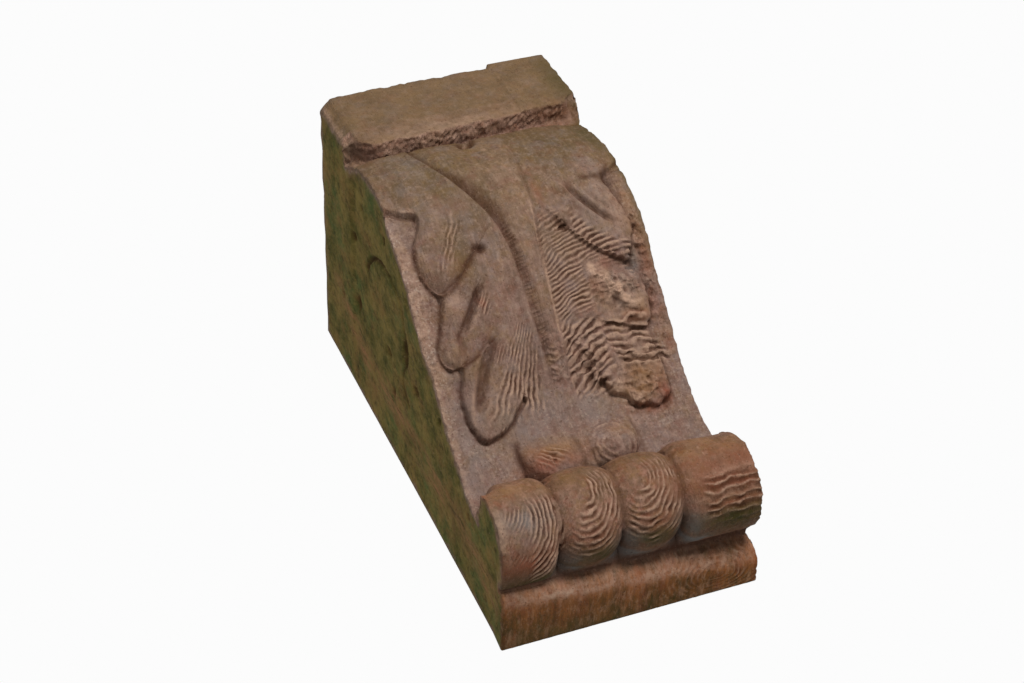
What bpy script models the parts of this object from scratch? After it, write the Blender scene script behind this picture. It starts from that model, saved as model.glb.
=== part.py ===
# Wall corbel with an acanthus leaf, cast as one piece.
# The back is the wall face at Y = 0, the front faces -Y, and the origin is the middle of the back.
# Working sizes are in millimetres, with heights counted up from the foot; MM turns them into metres.
# Sizes in pairs are those at the left end and at the right end of the width.

import math

import bmesh
import bpy
import numpy as np
from mathutils import Vector
from mathutils.geometry import delaunay_2d_cdt

MM = 0.001

# The whole casting. It is WIDTH wide half way up; TAPER is the share that the foot is wider and
# the top narrower, and BODY_INSET is how far the front of the body draws in on each side.
WIDTH = 140.0
TAPER = 0.02
HEIGHT = 293.0
PROJECTION = 161.0
BODY_INSET = 1.8
SIDE_ARRIS = 1.0
BACK_ARRIS = 0.5

# Top block
BLOCK_UNDERSIDE = (233.5, 239.0)
BLOCK_ARRIS = 1.5
BOARD_JOINT_X = 34.0
BOARD_STEP = 1.0
WORN_TOP_ARRIS = 5.0
SHARP_TOP_ARRIS = 1.5
CORNER_CHAMFER = 5.0
CORNER_CHAMFER_X = -63.0
TOP_LEFT_DROP = 6.0
TOP_LEFT_X = -58.0
TOP_LEFT_RUN = 12.5
LOW_LEFT_RISE = 12.0
LOW_RIGHT_RISE = 9.0
LOW_RIGHT_DEPTH = 8.0

# Front curve of the body: a crown arc, a straight slope and a neck arc. It comes out from under
# the block at FRONT_START along its length.
# Angles are in degrees from straight down, positive where the curve runs back to the wall.
CURVE_START = (-142.5, 246.0)
CROWN_ANGLE = -26.0
SLOPE_ANGLE = 45.5
NECK_ANGLE = 21.0
CROWN_LENGTH = 117.0
SLOPE_LENGTH = 49.0
NECK_LENGTH = 65.0
FRONT_LENGTH = CROWN_LENGTH + SLOPE_LENGTH + NECK_LENGTH
FRONT_START = 13.0

# Roll with two beads between two plain ends. Angles go round over the front, from the wall side.
ROLL_RADIUS = (26.6, 26.0)
ROLL_Y = -50.4
ROLL_Z = (28.0, 26.8)
ROLL_START = 100.0
ROLL_END = (298.0, 318.0)
ROLL_FLAT = 2.0
BEADS = ((-35.0, -1.5), (-1.5, 31.0))
BEAD_LEAN = -3.0
BEAD_SWELL = -0.5
BEAD_VALLEY = 5.0
BEAD_TUCK = 1.0
END_VALLEY_RUN = 9.0
NOTCH_START_X = -58.0
NOTCH_DROP = 14.0

# Foot fillet and the groove over it
FILLET_DEPTH = (36.0, 22.0)
FILLET_NOSE = 11.0
FILLET_FLARE = 0.9
GROOVE_TOP = (5.0, 13.0)
GROOVE_WIDTH = (2.0, 5.0)

# Leaf relief, as heights over the flat field of the front
LEAF_HEIGHT = 5.0
LEAF_EDGE_WALL = 2.2
CUT_IN_DEPTH = 1.2
CUT_IN_RUN = 3.0
STEM_CROWN = 2.2
STEM_GROOVE_DEPTH = 3.4
STEM_GROOVE_WIDTH = 3.2
BUD_HEIGHT = 9.5
BUD_BELOW = 14.0
BUD_ABOVE = 22.0

# Leaf outlines as (across, down the front) from the middle of the top edge
LEFT_LEAF = (
    (2, -14), (-84, -14), (-84, 58), (-66, 63), (-59, 69), (-53, 72), (-53, 78), (-58, 87),
    (-60, 97), (-58, 109), (-52, 119), (-57, 130), (-59, 143), (-59, 151), (-57, 155), (-50, 156),
    (-55, 168), (-56, 180), (-53, 193), (-49, 199), (-39, 196), (-29, 190), (-21, 180),
    (-13, 186), (-9, 210), (2, 210),
)
RIGHT_LEAF = (
    (-2, -14), (84, -14), (84, 58), (60, 69), (59, 80), (62, 95), (62, 106), (57, 121),
    (61, 136), (61, 148), (57, 158), (58, 168), (58, 182), (55, 199), (47, 201), (38, 197),
    (31, 190), (24, 182), (16, 188), (10, 210), (-2, 210),
)

# Cliffs: (points, drop at the start, drop at the end, run-out). The low side is on the left
# of the walking direction, and on the right for a drop below nought.
CLIFFS = (
    (((-57, 116), (-48, 121), (-38, 113), (-30, 106), (-25, 99)), 3.8, 1.2, 7.0),
    (((-60, 148), (-55, 158), (-46, 155), (-39, 152), (-34, 149)), 3.6, 0.8, 7.0),
    (((35, 73), (43, 71), (53, 70), (62, 68), (72, 60)), -1.4, -3.6, 8.0),
    (((24, 94), (29, 101), (36, 109), (46, 116), (57, 120), (62, 112)), -1.5, -5.0, 9.0),
    (((34, 151), (46, 155), (57, 158), (62, 150)), -1.5, -4.0, 7.0),
)

# Creases and ridges: (points, height, half width)
CREASES = (
    (((-48, 142), (-40, 132), (-34, 122), (-29, 116)), -2.6, 2.6),
    (((-50, 182), (-44, 169), (-38, 157), (-31, 147)), -2.4, 3.0),
    (((35, 70), (41, 83), (52, 97)), -1.9, 2.4),
    (((31, 120), (38, 130), (47, 141), (57, 151)), 2.0, 2.8),
)

# Round hollows and swellings: (across, down, radius across, radius down, height)
HOLLOWS = (
    (-26, 99, 2.6, 2.6, -3.0),
    (-46, 88, 4.0, 9.0, -1.6),
    (-35, 86, 5.0, 13.0, -1.2),
    (-50, 144, 3.0, 8.0, -1.4),
    (-49, 110, 7.0, 8.0, 1.5),
    (-54, 150, 5.0, 6.0, 1.4),
    (-43, 189, 9.0, 9.0, 1.6),
    (-27, 55, 13.0, 40.0, 1.6),
    (25, 96, 3.4, 2.6, -3.2),
    (57, 123, 4.5, 5.0, -3.5),
    (38, 143, 6.0, 6.0, -2.2),
    (51, 112, 8.0, 7.0, 1.2),
    (49, 192, 10.0, 9.0, 1.6),
    (-4, 18, 4.0, 5.0, -3.0),
)

# Buds under the leaf: (across, down, half width)
BUDS = ((-20.0, 216.0, 15.5), (15.0, 214.0, 16.0))

# Spacing of the working grid, and the number of triangles kept from it
COLUMN_STEP = 1.25
FRONT_STEP = 1.5
ROLL_TURN = 4.0
SIDE_STEP = 9.0
TARGET_TRIANGLES = 9000


def ramp(low, high, value):
    """Smooth step from 0 at low to 1 at high."""
    t = np.clip((value - low) / (high - low), 0.0, 1.0)
    return t * t * (3.0 - 2.0 * t)


def end_blend(pair, x):
    """Value between a left-end and a right-end size."""
    return pair[0] + (pair[1] - pair[0]) * (x / WIDTH + 0.5)


def smooth_line(points, closed=False, pieces=4):
    """Catmull-Rom curve through a few points, as a finer line."""
    p = np.array(points, float)
    if closed:
        p = np.vstack([p[-1:], p, p[:2]])
    else:
        p = np.vstack([2 * p[0] - p[1], p, 2 * p[-1] - p[-2]])
    t = (np.arange(pieces) / pieces)[:, None]
    runs = []
    for a, b, c, d in zip(p[:-3], p[1:-2], p[2:-1], p[3:]):
        bend = 2 * a - 5 * b + 4 * c - d
        twist = 3 * (b - c) + d - a
        runs.append(0.5 * (2 * b + (c - a) * t + bend * t**2 + twist * t**3))
    if not closed:
        runs.append(p[-2:-1])
    return np.vstack(runs)


def nearest_on_line(x, s, line):
    """Distance to a line, share of its length at the foot point, and the side (1 on the left)."""
    best = np.full(x.shape, 1e9)
    share = np.zeros(x.shape)
    side = np.ones(x.shape)
    lengths = np.hypot(*np.diff(line, axis=0).T)
    walked = np.concatenate([[0.0], np.cumsum(lengths)])
    for start, end, length, before in zip(line[:-1], line[1:], lengths, walked):
        along = (end - start) / length
        dx, ds = x - start[0], s - start[1]
        t = np.clip(dx * along[0] + ds * along[1], 0.0, length)
        gap = np.hypot(dx - t * along[0], ds - t * along[1])
        closer = gap < best
        best = np.where(closer, gap, best)
        share = np.where(closer, (before + t) / walked[-1], share)
        turn = along[1] * dx - along[0] * ds
        side = np.where(closer, np.where(turn > 0, 1.0, -1.0), side)
    return best, share, side


def inside_outline(x, s, line):
    """Signed distance to a closed outline, positive inside."""
    loop = np.vstack([line, line[:1]])
    gap, _, _ = nearest_on_line(x, s, loop)
    crossings = np.zeros(x.shape, int)
    for (first_x, first_s), (last_x, last_s) in zip(loop[:-1], loop[1:]):
        if first_s == last_s:
            continue
        spans = (s < first_s) != (s < last_s)
        cut = first_x + (s - first_s) * (last_x - first_x) / (last_s - first_s)
        crossings += spans & (x < cut)
    return np.where(crossings % 2 == 1, gap, -gap)


def stem_edges(s):
    """Left and right edge of the central stem, which narrows downwards like a funnel."""
    left = -3.0 - 4.0 * (1.0 - ramp(100.0, 155.0, s)) - 25.0 * (1.0 - ramp(18.0, 100.0, s))
    right = 5.0 + 22.0 * (1.0 - ramp(15.0, 115.0, s))
    return left, right


def stem_relief(x, s):
    """Rounded stem with a groove along its left edge and a thin ridge along its right one."""
    left, right = stem_edges(s)
    fade = 1.0 - ramp(165.0, 200.0, s)
    across = np.clip((x - left) / (right - left), 0.0, 1.0)
    crown = STEM_CROWN * np.sqrt(np.sin(math.pi * across)) * fade
    groove_fade = ramp(4.0, 40.0, s) * (1.0 - ramp(150.0, 195.0, s))
    groove = STEM_GROOVE_DEPTH * np.exp(-(((x - left) / STEM_GROOVE_WIDTH) ** 2)) * groove_fade
    ridge = 1.1 * np.exp(-(((x - right) / 1.8) ** 2)) * ramp(60.0, 80.0, s) * fade
    return crown - groove + ridge


def bud_relief(x, s):
    """Buds that rise slowly out of the field and end in a steep round nose."""
    height = np.zeros(x.shape)
    for middle, down, half_width in BUDS:
        across = np.clip(1.0 - ((x - middle) / half_width) ** 2, 0.0, 1.0)
        nose = np.clip((s - down) / BUD_BELOW, 0.0, 1.0)
        rise = 1.0 - np.clip((down - s) / BUD_ABOVE, 0.0, 1.0) ** 2
        bud = np.sqrt(np.clip(across - nose**2, 0.0, 1.0)) * rise
        height = np.maximum(height, BUD_HEIGHT * bud)
    return height


def relief(x, s):
    """Height of the carving over the front curve."""
    left = inside_outline(x, s, smooth_line(LEFT_LEAF, closed=True))
    right = inside_outline(x, s, smooth_line(RIGHT_LEAF, closed=True))
    inner = np.maximum(left, right)
    cover = ramp(-LEAF_EDGE_WALL, LEAF_EDGE_WALL, inner)
    to_foot = 1.0 - ramp(168.0, 204.0, s) * (1.0 - ramp(16.0, 24.0, np.abs(x)))
    to_side = 1.0 - 0.6 * ramp(52.0, 70.0, np.abs(x))
    height = LEAF_HEIGHT * cover * to_foot * to_side
    cut_in = CUT_IN_DEPTH * np.exp(-np.abs(inner + LEAF_EDGE_WALL) / CUT_IN_RUN)
    height -= cut_in * (1.0 - cover) * ramp(18.0, 24.0, np.abs(x))
    height += stem_relief(x, s) * cover
    for points, first_drop, last_drop, run_out in CLIFFS:
        gap, share, side = nearest_on_line(x, s, smooth_line(points))
        low = side * (1.0 if first_drop > 0 else -1.0)
        drop = abs(first_drop) + (abs(last_drop) - abs(first_drop)) * share
        below = np.clip(gap * low, 0.0, None)
        fall = ramp(0.0, LEAF_EDGE_WALL, gap * low) * np.exp(-below / run_out)
        height -= drop * fall * cover * (1.0 - ramp(12.0, 22.0, gap))
    for points, crest, half_width in CREASES:
        gap, share, _ = nearest_on_line(x, s, smooth_line(points))
        ends = ramp(0.0, 0.12, share) * (1.0 - ramp(0.88, 1.0, share))
        height += crest * np.exp(-((gap / half_width) ** 2)) * (0.4 + 0.6 * ends)
    for middle_x, middle_s, radius_x, radius_s, crest in HOLLOWS:
        reach = ((x - middle_x) / radius_x) ** 2 + ((s - middle_s) / radius_s) ** 2
        height += crest * np.exp(-reach)
    return height + bud_relief(x, s)


def front_curve(s):
    """Y, height and outward direction of the plain front at the lengths s down it."""
    knots = [0.0, CROWN_LENGTH, CROWN_LENGTH + SLOPE_LENGTH, FRONT_LENGTH]
    turns = [CROWN_ANGLE, SLOPE_ANGLE, SLOPE_ANGLE, NECK_ANGLE]
    fine = np.linspace(0.0, FRONT_LENGTH, 800)
    angle = np.radians(np.interp(fine, knots, turns))
    step = fine[1] - fine[0]
    middles = (angle[1:] + angle[:-1]) / 2.0
    y = CURVE_START[0] + np.concatenate([[0.0], np.cumsum(np.sin(middles)) * step])
    z = CURVE_START[1] - np.concatenate([[0.0], np.cumsum(np.cos(middles)) * step])
    at = np.interp(s, fine, angle)
    return np.interp(s, fine, y), np.interp(s, fine, z), -np.cos(at), -np.sin(at)


def notch_share(x):
    """How far the V-shaped notch at the left end of the roll is open."""
    return ramp(NOTCH_START_X, -WIDTH / 2, x)


def back_rows():
    """Wall face, from the foot to the top."""
    return [(0.0, z) for z in (BACK_ARRIS, 50.0, 100.0, 150.0, 200.0, 250.0)]


def block_rows(x):
    """Top, front and underside of the top block."""
    fallen = np.clip((TOP_LEFT_X - x) / TOP_LEFT_RUN, 0.0, 1.0)
    top = HEIGHT - TOP_LEFT_DROP * (1.0 - np.sqrt(1.0 - fallen**2))
    right_board = ramp(BOARD_JOINT_X - 1.0, BOARD_JOINT_X + 1.0, x)
    arris = WORN_TOP_ARRIS + (SHARP_TOP_ARRIS - WORN_TOP_ARRIS) * right_board
    chamfer = CORNER_CHAMFER * np.clip((CORNER_CHAMFER_X - x) / 7.0, 0.0, 1.0)
    front = -PROJECTION + BOARD_STEP * (1.0 - right_board) + chamfer
    under = end_blend(BLOCK_UNDERSIDE, x) + LOW_LEFT_RISE * ramp(-56.0, -70.0, x)
    low = under + LOW_RIGHT_RISE * np.clip((x - 58.0) / 12.0, 0.0, 1.0)
    rows = [(0.0, top - BACK_ARRIS)]
    rows += [(y, top) for y in (-BACK_ARRIS, -40.0, -80.0, -120.0)]
    for turn in np.radians((0.0, 30.0, 60.0, 90.0)):
        rows.append((front + arris * (1.0 - math.sin(turn)), top - arris * (1.0 - math.cos(turn))))
    for share in (0.2, 0.4, 0.6, 0.8):
        rows.append((front, top - arris + (low + BLOCK_ARRIS - top + arris) * share))
    for turn in np.radians((0.0, 45.0, 90.0)):
        rows.append((front + BLOCK_ARRIS * (1.0 - math.cos(turn)),
                     low + BLOCK_ARRIS * (1.0 - math.sin(turn))))
    rows.append((front + LOW_RIGHT_DEPTH, under))
    return rows


def body_grid(x):
    """Carved front between the block and the roll, as arrays of columns by rows."""
    s = np.linspace(FRONT_START, FRONT_LENGTH, int((FRONT_LENGTH - FRONT_START) / FRONT_STEP))
    y, z, out_y, out_z = front_curve(s)
    grid_x, grid_s = np.meshgrid(x, s, indexing="ij")
    ends = ramp(0.0, 4.0, s - FRONT_START) * (1.0 - ramp(FRONT_LENGTH - 3.0, FRONT_LENGTH, s))
    height = relief(grid_x, grid_s) * ends
    lower = NOTCH_DROP * notch_share(x) + ROLL_Z[0] - end_blend(ROLL_Z, x)
    drop = lower[:, None] * ramp(FRONT_LENGTH - 14.0, FRONT_LENGTH, s)
    return y + out_y * height, z + out_z * height - drop


def roll_radius(x, angle):
    """Radius of the roll, with beads that stand apart and tuck in below."""
    radius = end_blend(ROLL_RADIUS, x) + 0.0 * angle
    below = ramp(235.0, 290.0, angle)
    valley = BEAD_VALLEY * (1.0 + 0.5 * below)
    rim = 1.0 - math.sqrt(0.1)
    x = x - BEAD_LEAN * ramp(150.0, 260.0, angle)
    for low, high in BEADS:
        u = (x - (low + high) / 2) / ((high - low) / 2)
        hollow = (1.0 - np.sqrt(np.clip(1.0 - 0.9 * u**2, 0.0, 1.0))) / rim
        swell = BEAD_SWELL * (1.0 - below) - BEAD_TUCK * ramp(255.0, 300.0, angle)
        bead = swell - (BEAD_SWELL + valley) * hollow
        radius = np.where(np.abs(u) <= 1.0, radius + bead, radius)
    for edge, outward in ((BEADS[0][0], -1.0), (BEADS[-1][1], 1.0)):
        run = (x - edge) * outward
        u = np.clip(1.0 - run / END_VALLEY_RUN, 0.0, 1.0)
        hollow = (1.0 - np.sqrt(1.0 - 0.9 * u**2)) / rim
        radius = np.where(run >= 0.0, radius - valley * hollow, radius)
    flat = ROLL_FLAT * ramp(40.0, 69.0, x)
    return radius - flat * ramp(115.0, 140.0, angle) * (1.0 - ramp(165.0, 195.0, angle))


def roll_grid(x):
    """Roll from the foot of the carved front round to the groove, as columns by rows."""
    count = int((ROLL_END[0] - ROLL_START) / ROLL_TURN)
    share = np.linspace(0.0, 1.0, count)[1:]
    column = x[:, None]
    angle = ROLL_START + (end_blend(ROLL_END, column) - ROLL_START) * share
    plain = end_blend(ROLL_RADIUS, column)
    reach = plain + (roll_radius(column, angle) - plain) * ramp(0.0, 0.12, share)
    drop = NOTCH_DROP * notch_share(column) * (1.0 - ramp(125.0, 175.0, angle))
    turn = np.radians(angle)
    y = ROLL_Y + reach * np.cos(turn)
    return y, end_blend(ROLL_Z, column) + reach * np.sin(turn) - drop


def foot_rows(x):
    """Groove under the roll, the fillet's rounded nose and the end face."""
    depth = -end_blend(FILLET_DEPTH, x)
    top = end_blend(GROOVE_TOP, x)
    width = end_blend(GROOVE_WIDTH, x)
    rows = [(depth - width * 0.8, top), (depth - width * 0.2, top)]
    for turn in np.radians((0.0, 30.0, 60.0, 90.0)):
        rows.append((depth + FILLET_NOSE * (1.0 - math.cos(turn)),
                     (top - 1.0) * (1.0 - math.sin(turn))))
    rows.append((-BACK_ARRIS, 0.0))
    return rows


def columns():
    """Places across the width, closer together round the side arrises."""
    flat = WIDTH / 2 - SIDE_ARRIS
    ends = flat + SIDE_ARRIS * np.sin(np.radians((30.0, 60.0, 90.0)))
    count = int(2 * flat / COLUMN_STEP) + 1
    return np.concatenate([-ends[::-1], np.linspace(-flat, flat, count), ends])


def side_points(loop):
    """Points inside a side face, so that its triangles stay even."""
    low, high = loop.min(axis=0), loop.max(axis=0)
    ys = np.arange(low[0] + SIDE_STEP / 2, high[0], SIDE_STEP)
    zs = np.arange(low[1] + SIDE_STEP / 2, high[1], SIDE_STEP)
    grid = np.array([(y, z) for y in ys for z in zs])
    inner = inside_outline(grid[:, 0], grid[:, 1], loop)
    return grid[inner > SIDE_STEP * 0.45]


def half_width(y, z):
    """Half width of the casting at a depth and a height."""
    plain = WIDTH / 2 * (1.0 + TAPER * (1.0 - 2.0 * z / HEIGHT))
    between = ramp(48.0, 70.0, z) * (1.0 - ramp(BLOCK_UNDERSIDE[0], BLOCK_UNDERSIDE[1], z))
    fillet = 1.0 - ramp(6.0, 16.0, z)
    return plain - BODY_INSET * between * ramp(0.0, -70.0, y) + FILLET_FLARE * fillet


def build_casting():
    """Closed skin: a loop of rows at each column, and a triangulated face on each side."""
    x = columns()
    parts = [np.array([(y + 0.0 * x, z + 0.0 * x) for y, z in back_rows() + block_rows(x)])]
    parts += [np.moveaxis(np.array(grid), 2, 0) for grid in (body_grid(x), roll_grid(x))]
    parts.append(np.array([(y + 0.0 * x, z + 0.0 * x) for y, z in foot_rows(x)]))
    rows = np.concatenate(parts)
    y, z = rows[:, 0].T, rows[:, 1].T

    # Round the side arrises by drawing the outermost columns towards the middle of the casting.
    over = np.clip(np.abs(x) - (WIDTH / 2 - SIDE_ARRIS), 0.0, SIDE_ARRIS)
    inward = (SIDE_ARRIS - np.sqrt(SIDE_ARRIS**2 - over**2))[:, None]
    reach_y, reach_z = y + 50.0, z - 130.0
    length = np.hypot(reach_y, reach_z)
    y = y - inward * reach_y / length
    z = z - inward * reach_z / length

    grid = np.stack([x[:, None] / (WIDTH / 2) * half_width(y, z), y, z], axis=2)
    count_x, count_loop = grid.shape[:2]
    points = [tuple(p) for p in grid.reshape(-1, 3)]
    faces = []
    for i in range(count_x - 1):
        for j in range(count_loop):
            k = (j + 1) % count_loop
            here, there = i * count_loop, (i + 1) * count_loop
            faces.append((here + j, here + k, there + k, there + j))

    for column, sign in ((0, -1.0), (count_x - 1, 1.0)):
        loop = grid[column][:, 1:]
        inner = side_points(loop)
        flat = [Vector(p) for p in np.vstack([loop, inner])]
        edges = [(j, (j + 1) % count_loop) for j in range(count_loop)]
        _, _, triangles, origin, _, _ = delaunay_2d_cdt(flat, edges, [], 1, 1e-6)
        numbers = [column * count_loop + j for j in range(count_loop)]
        numbers += range(len(points), len(points) + len(inner))
        points += [(sign * float(half_width(py, pz)), py, pz) for py, pz in inner]
        faces += [tuple(numbers[origin[v][0]] for v in triangle) for triangle in triangles]

    mesh = bpy.data.meshes.new("corbel")
    mesh.from_pydata([(px * MM, py * MM, (pz - HEIGHT / 2) * MM) for px, py, pz in points], [], faces)
    bm = bmesh.new()
    bm.from_mesh(mesh)
    bmesh.ops.triangulate(bm, faces=bm.faces[:])
    bmesh.ops.recalc_face_normals(bm, faces=bm.faces[:])
    bm.to_mesh(mesh)
    bm.free()
    return mesh


def stained_foam():
    """Rigid foam with a brown faux-wood stain."""
    material = bpy.data.materials.new("stained_foam")
    material.use_nodes = True
    shader = material.node_tree.nodes["Principled BSDF"]
    shader.inputs["Base Color"].default_value = (0.19, 0.11, 0.065, 1.0)
    shader.inputs["Roughness"].default_value = 0.62
    shader.inputs["Metallic"].default_value = 0.0
    return material


def main():
    for old in list(bpy.data.objects):
        bpy.data.objects.remove(old, do_unlink=True)
    mesh = build_casting()
    mesh.materials.append(stained_foam())
    mesh.shade_smooth()
    mesh.set_sharp_from_angle(angle=math.radians(35.0))
    corbel = bpy.data.objects.new("corbel", mesh)
    bpy.context.scene.collection.objects.link(corbel)
    thin = corbel.modifiers.new("fewer faces", "DECIMATE")
    thin.ratio = TARGET_TRIANGLES / len(mesh.polygons)


main()
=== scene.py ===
import math
from functools import partial

import bmesh
import bpy
import numpy as np
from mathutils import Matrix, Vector
from mathutils.geometry import delaunay_2d_cdt


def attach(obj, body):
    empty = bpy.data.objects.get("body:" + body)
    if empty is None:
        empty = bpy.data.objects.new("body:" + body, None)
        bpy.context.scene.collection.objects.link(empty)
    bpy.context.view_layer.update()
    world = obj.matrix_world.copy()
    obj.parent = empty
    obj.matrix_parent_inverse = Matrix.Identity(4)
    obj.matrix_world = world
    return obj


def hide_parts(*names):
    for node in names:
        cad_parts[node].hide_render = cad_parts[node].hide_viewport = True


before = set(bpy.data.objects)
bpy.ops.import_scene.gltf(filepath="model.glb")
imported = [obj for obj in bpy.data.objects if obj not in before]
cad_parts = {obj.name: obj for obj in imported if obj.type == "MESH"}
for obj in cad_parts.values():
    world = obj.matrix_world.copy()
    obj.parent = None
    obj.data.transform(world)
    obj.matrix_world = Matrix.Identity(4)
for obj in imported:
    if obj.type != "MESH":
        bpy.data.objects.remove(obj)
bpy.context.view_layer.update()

# A wall corbel with an acanthus leaf, cast in one piece of rigid foam and stained like old wood.
# Y = 0 is the wall, the front faces -Y, and the origin is the middle of the back.
# Working sizes are in millimetres, heights counted up from the foot. A pair of sizes is (left end,
# right end). On the carved front, x runs across and s runs down the curve from under the block.

mm = 0.001

# sizes of each part of the casting

casting = {
    "width": 140.0,  # half way up
    "taper": 0.02,  # share that the foot is wider and the top narrower
    "height": 293.0,
    "projection": 161.0,
    "bodyInset": 1.8,  # how far the front of the body draws in on each side
    "sideArris": 1.0,
    "backArris": 0.5,
    "middle": (-50.0, 130.0),  # y and height that the worn arrises draw in towards
    "rubReach": (4.0, 20.0),  # wear starts this far out from the wall and is full after this much more
}

block = {
    "underside": (233.5, 239.0),
    "arris": 1.5,
    "boardJointX": 34.0,  # the block is carved as two boards that meet here
    "boardStep": 1.0,
    "wornTopArris": 5.0,
    "sharpTopArris": 1.5,
    "cornerChamfer": 5.0,
    "cornerChamferX": -63.0,
    "topLeftDrop": 6.0,
    "topLeftX": -58.0,
    "topLeftRun": 12.5,
    "lowLeftRise": 12.0,
    "lowRightRise": 9.0,
    "lowRightDepth": 12.0,
    "frontY": -140.0,  # rows nearer to the wall than this are the top or the back
    "faceFrom": 244.0,  # rows above this height are the front face
    "gougedBelow": 252.0,
}

front = {
    "start": (-142.5, 246.0),  # y and height where the curve would begin behind the block
    "crownAngle": -26.0,  # degrees from straight down, positive runs back to the wall
    "slopeAngle": 45.5,
    "neckAngle": 21.0,
    "crownLength": 117.0,
    "slopeLength": 49.0,
    "neckLength": 65.0,
    "from": 13.0,  # where it comes out from under the block
    "nudge": (1.4, 0.4),  # how far the carving sits to the left and higher up than its points say
    "easeIn": 4.0,  # the carving starts and ends over these lengths
    "easeOut": 3.0,
    "toRoll": 14.0,  # length over which the curve drops to meet the roll
}
front["to"] = front["crownLength"] + front["slopeLength"] + front["neckLength"]

# "down" at a point says which part of the skin it is: length s on the carved front, less than nought
# on the block's face, and as follows on the rest
down = {"face": 240.0, "roll": front["to"], "foot": 340.0, "hidden": -400.0}

roll = {
    "radius": (26.6, 26.0),
    "y": -50.4,
    "z": (28.0, 26.8),
    "startAngle": 100.0,  # degrees round over the front, from the wall side
    "endAngle": (298.0, 318.0),
    "flat": 2.0,
    "beads": ((-35.0, -1.5), (-1.5, 31.0)),
    "lean": -3.0,  # the valleys lean over towards the underside
    "leanRun": (150.0, 260.0),
    "swell": -0.5,
    "valley": 5.0,
    "tuck": 1.0,
    "tuckRun": (255.0, 300.0),
    # growth rings: (marks, x, angle, low x, high x, plain middle)
    "rings": (("leftEnd", -66.0, 205.0, -70.0, -35.0, 8.0), ("beads", -23.0, 190.0, -35.0, -1.5, 4.0),
              ("beads", 8.0, 187.0, -1.5, 31.0, 4.0)),
    "endValleyRun": 9.0,
    "notchStartX": -58.0,
    "notchDrop": 14.0,
}

foot = {
    "depth": (36.0, 22.0),
    "nose": 11.0,
    "flare": 0.9,
    "grooveTop": (5.0, 13.0),
    "grooveWidth": (2.0, 5.0),
    "growthMiddle": (46.0, -14.0),  # x and y that the rings on its end face go round
}

stem = {
    # (s, x) of its left edge
    "left": ((13, -38), (22, -37.5), (30, -36), (40, -33), (50, -29.5), (60, -24.5), (70, -19.5),
             (80, -14.6), (90, -11), (100, -9.2), (120, -7.3), (150, -6), (200, -3)),
    "right": (5.0, 22.0),  # x low down, and how much further right it starts
    "narrows": (15.0, 115.0),  # (from s, to s), as in the other pairs below
    "crown": 1.8,
    "crownRise": (20.0, 60.0),
    "fade": (165.0, 200.0),
    "grooveAt": 1.0,  # mm right of the left edge
    "grooveDepth": 3.2,
    "grooveRun": 5.5,
    "grooveRise": (4.0, 40.0),
    "grooveFade": (150.0, 195.0),
    "lip": (0.9, 3.2, 2.6),  # the round edge left of the groove: (mm, how far left, half width)
    "ridge": (1.2, 1.3),  # the sharp edge on the right: (mm, half width)
    "ridgeRise": (60.0, 80.0),
    "stainWidth": (3.0, 4.5, 1.5),  # of the dark band of stain and painted shade in the groove: (least, more at the bend, more below)
}

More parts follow.
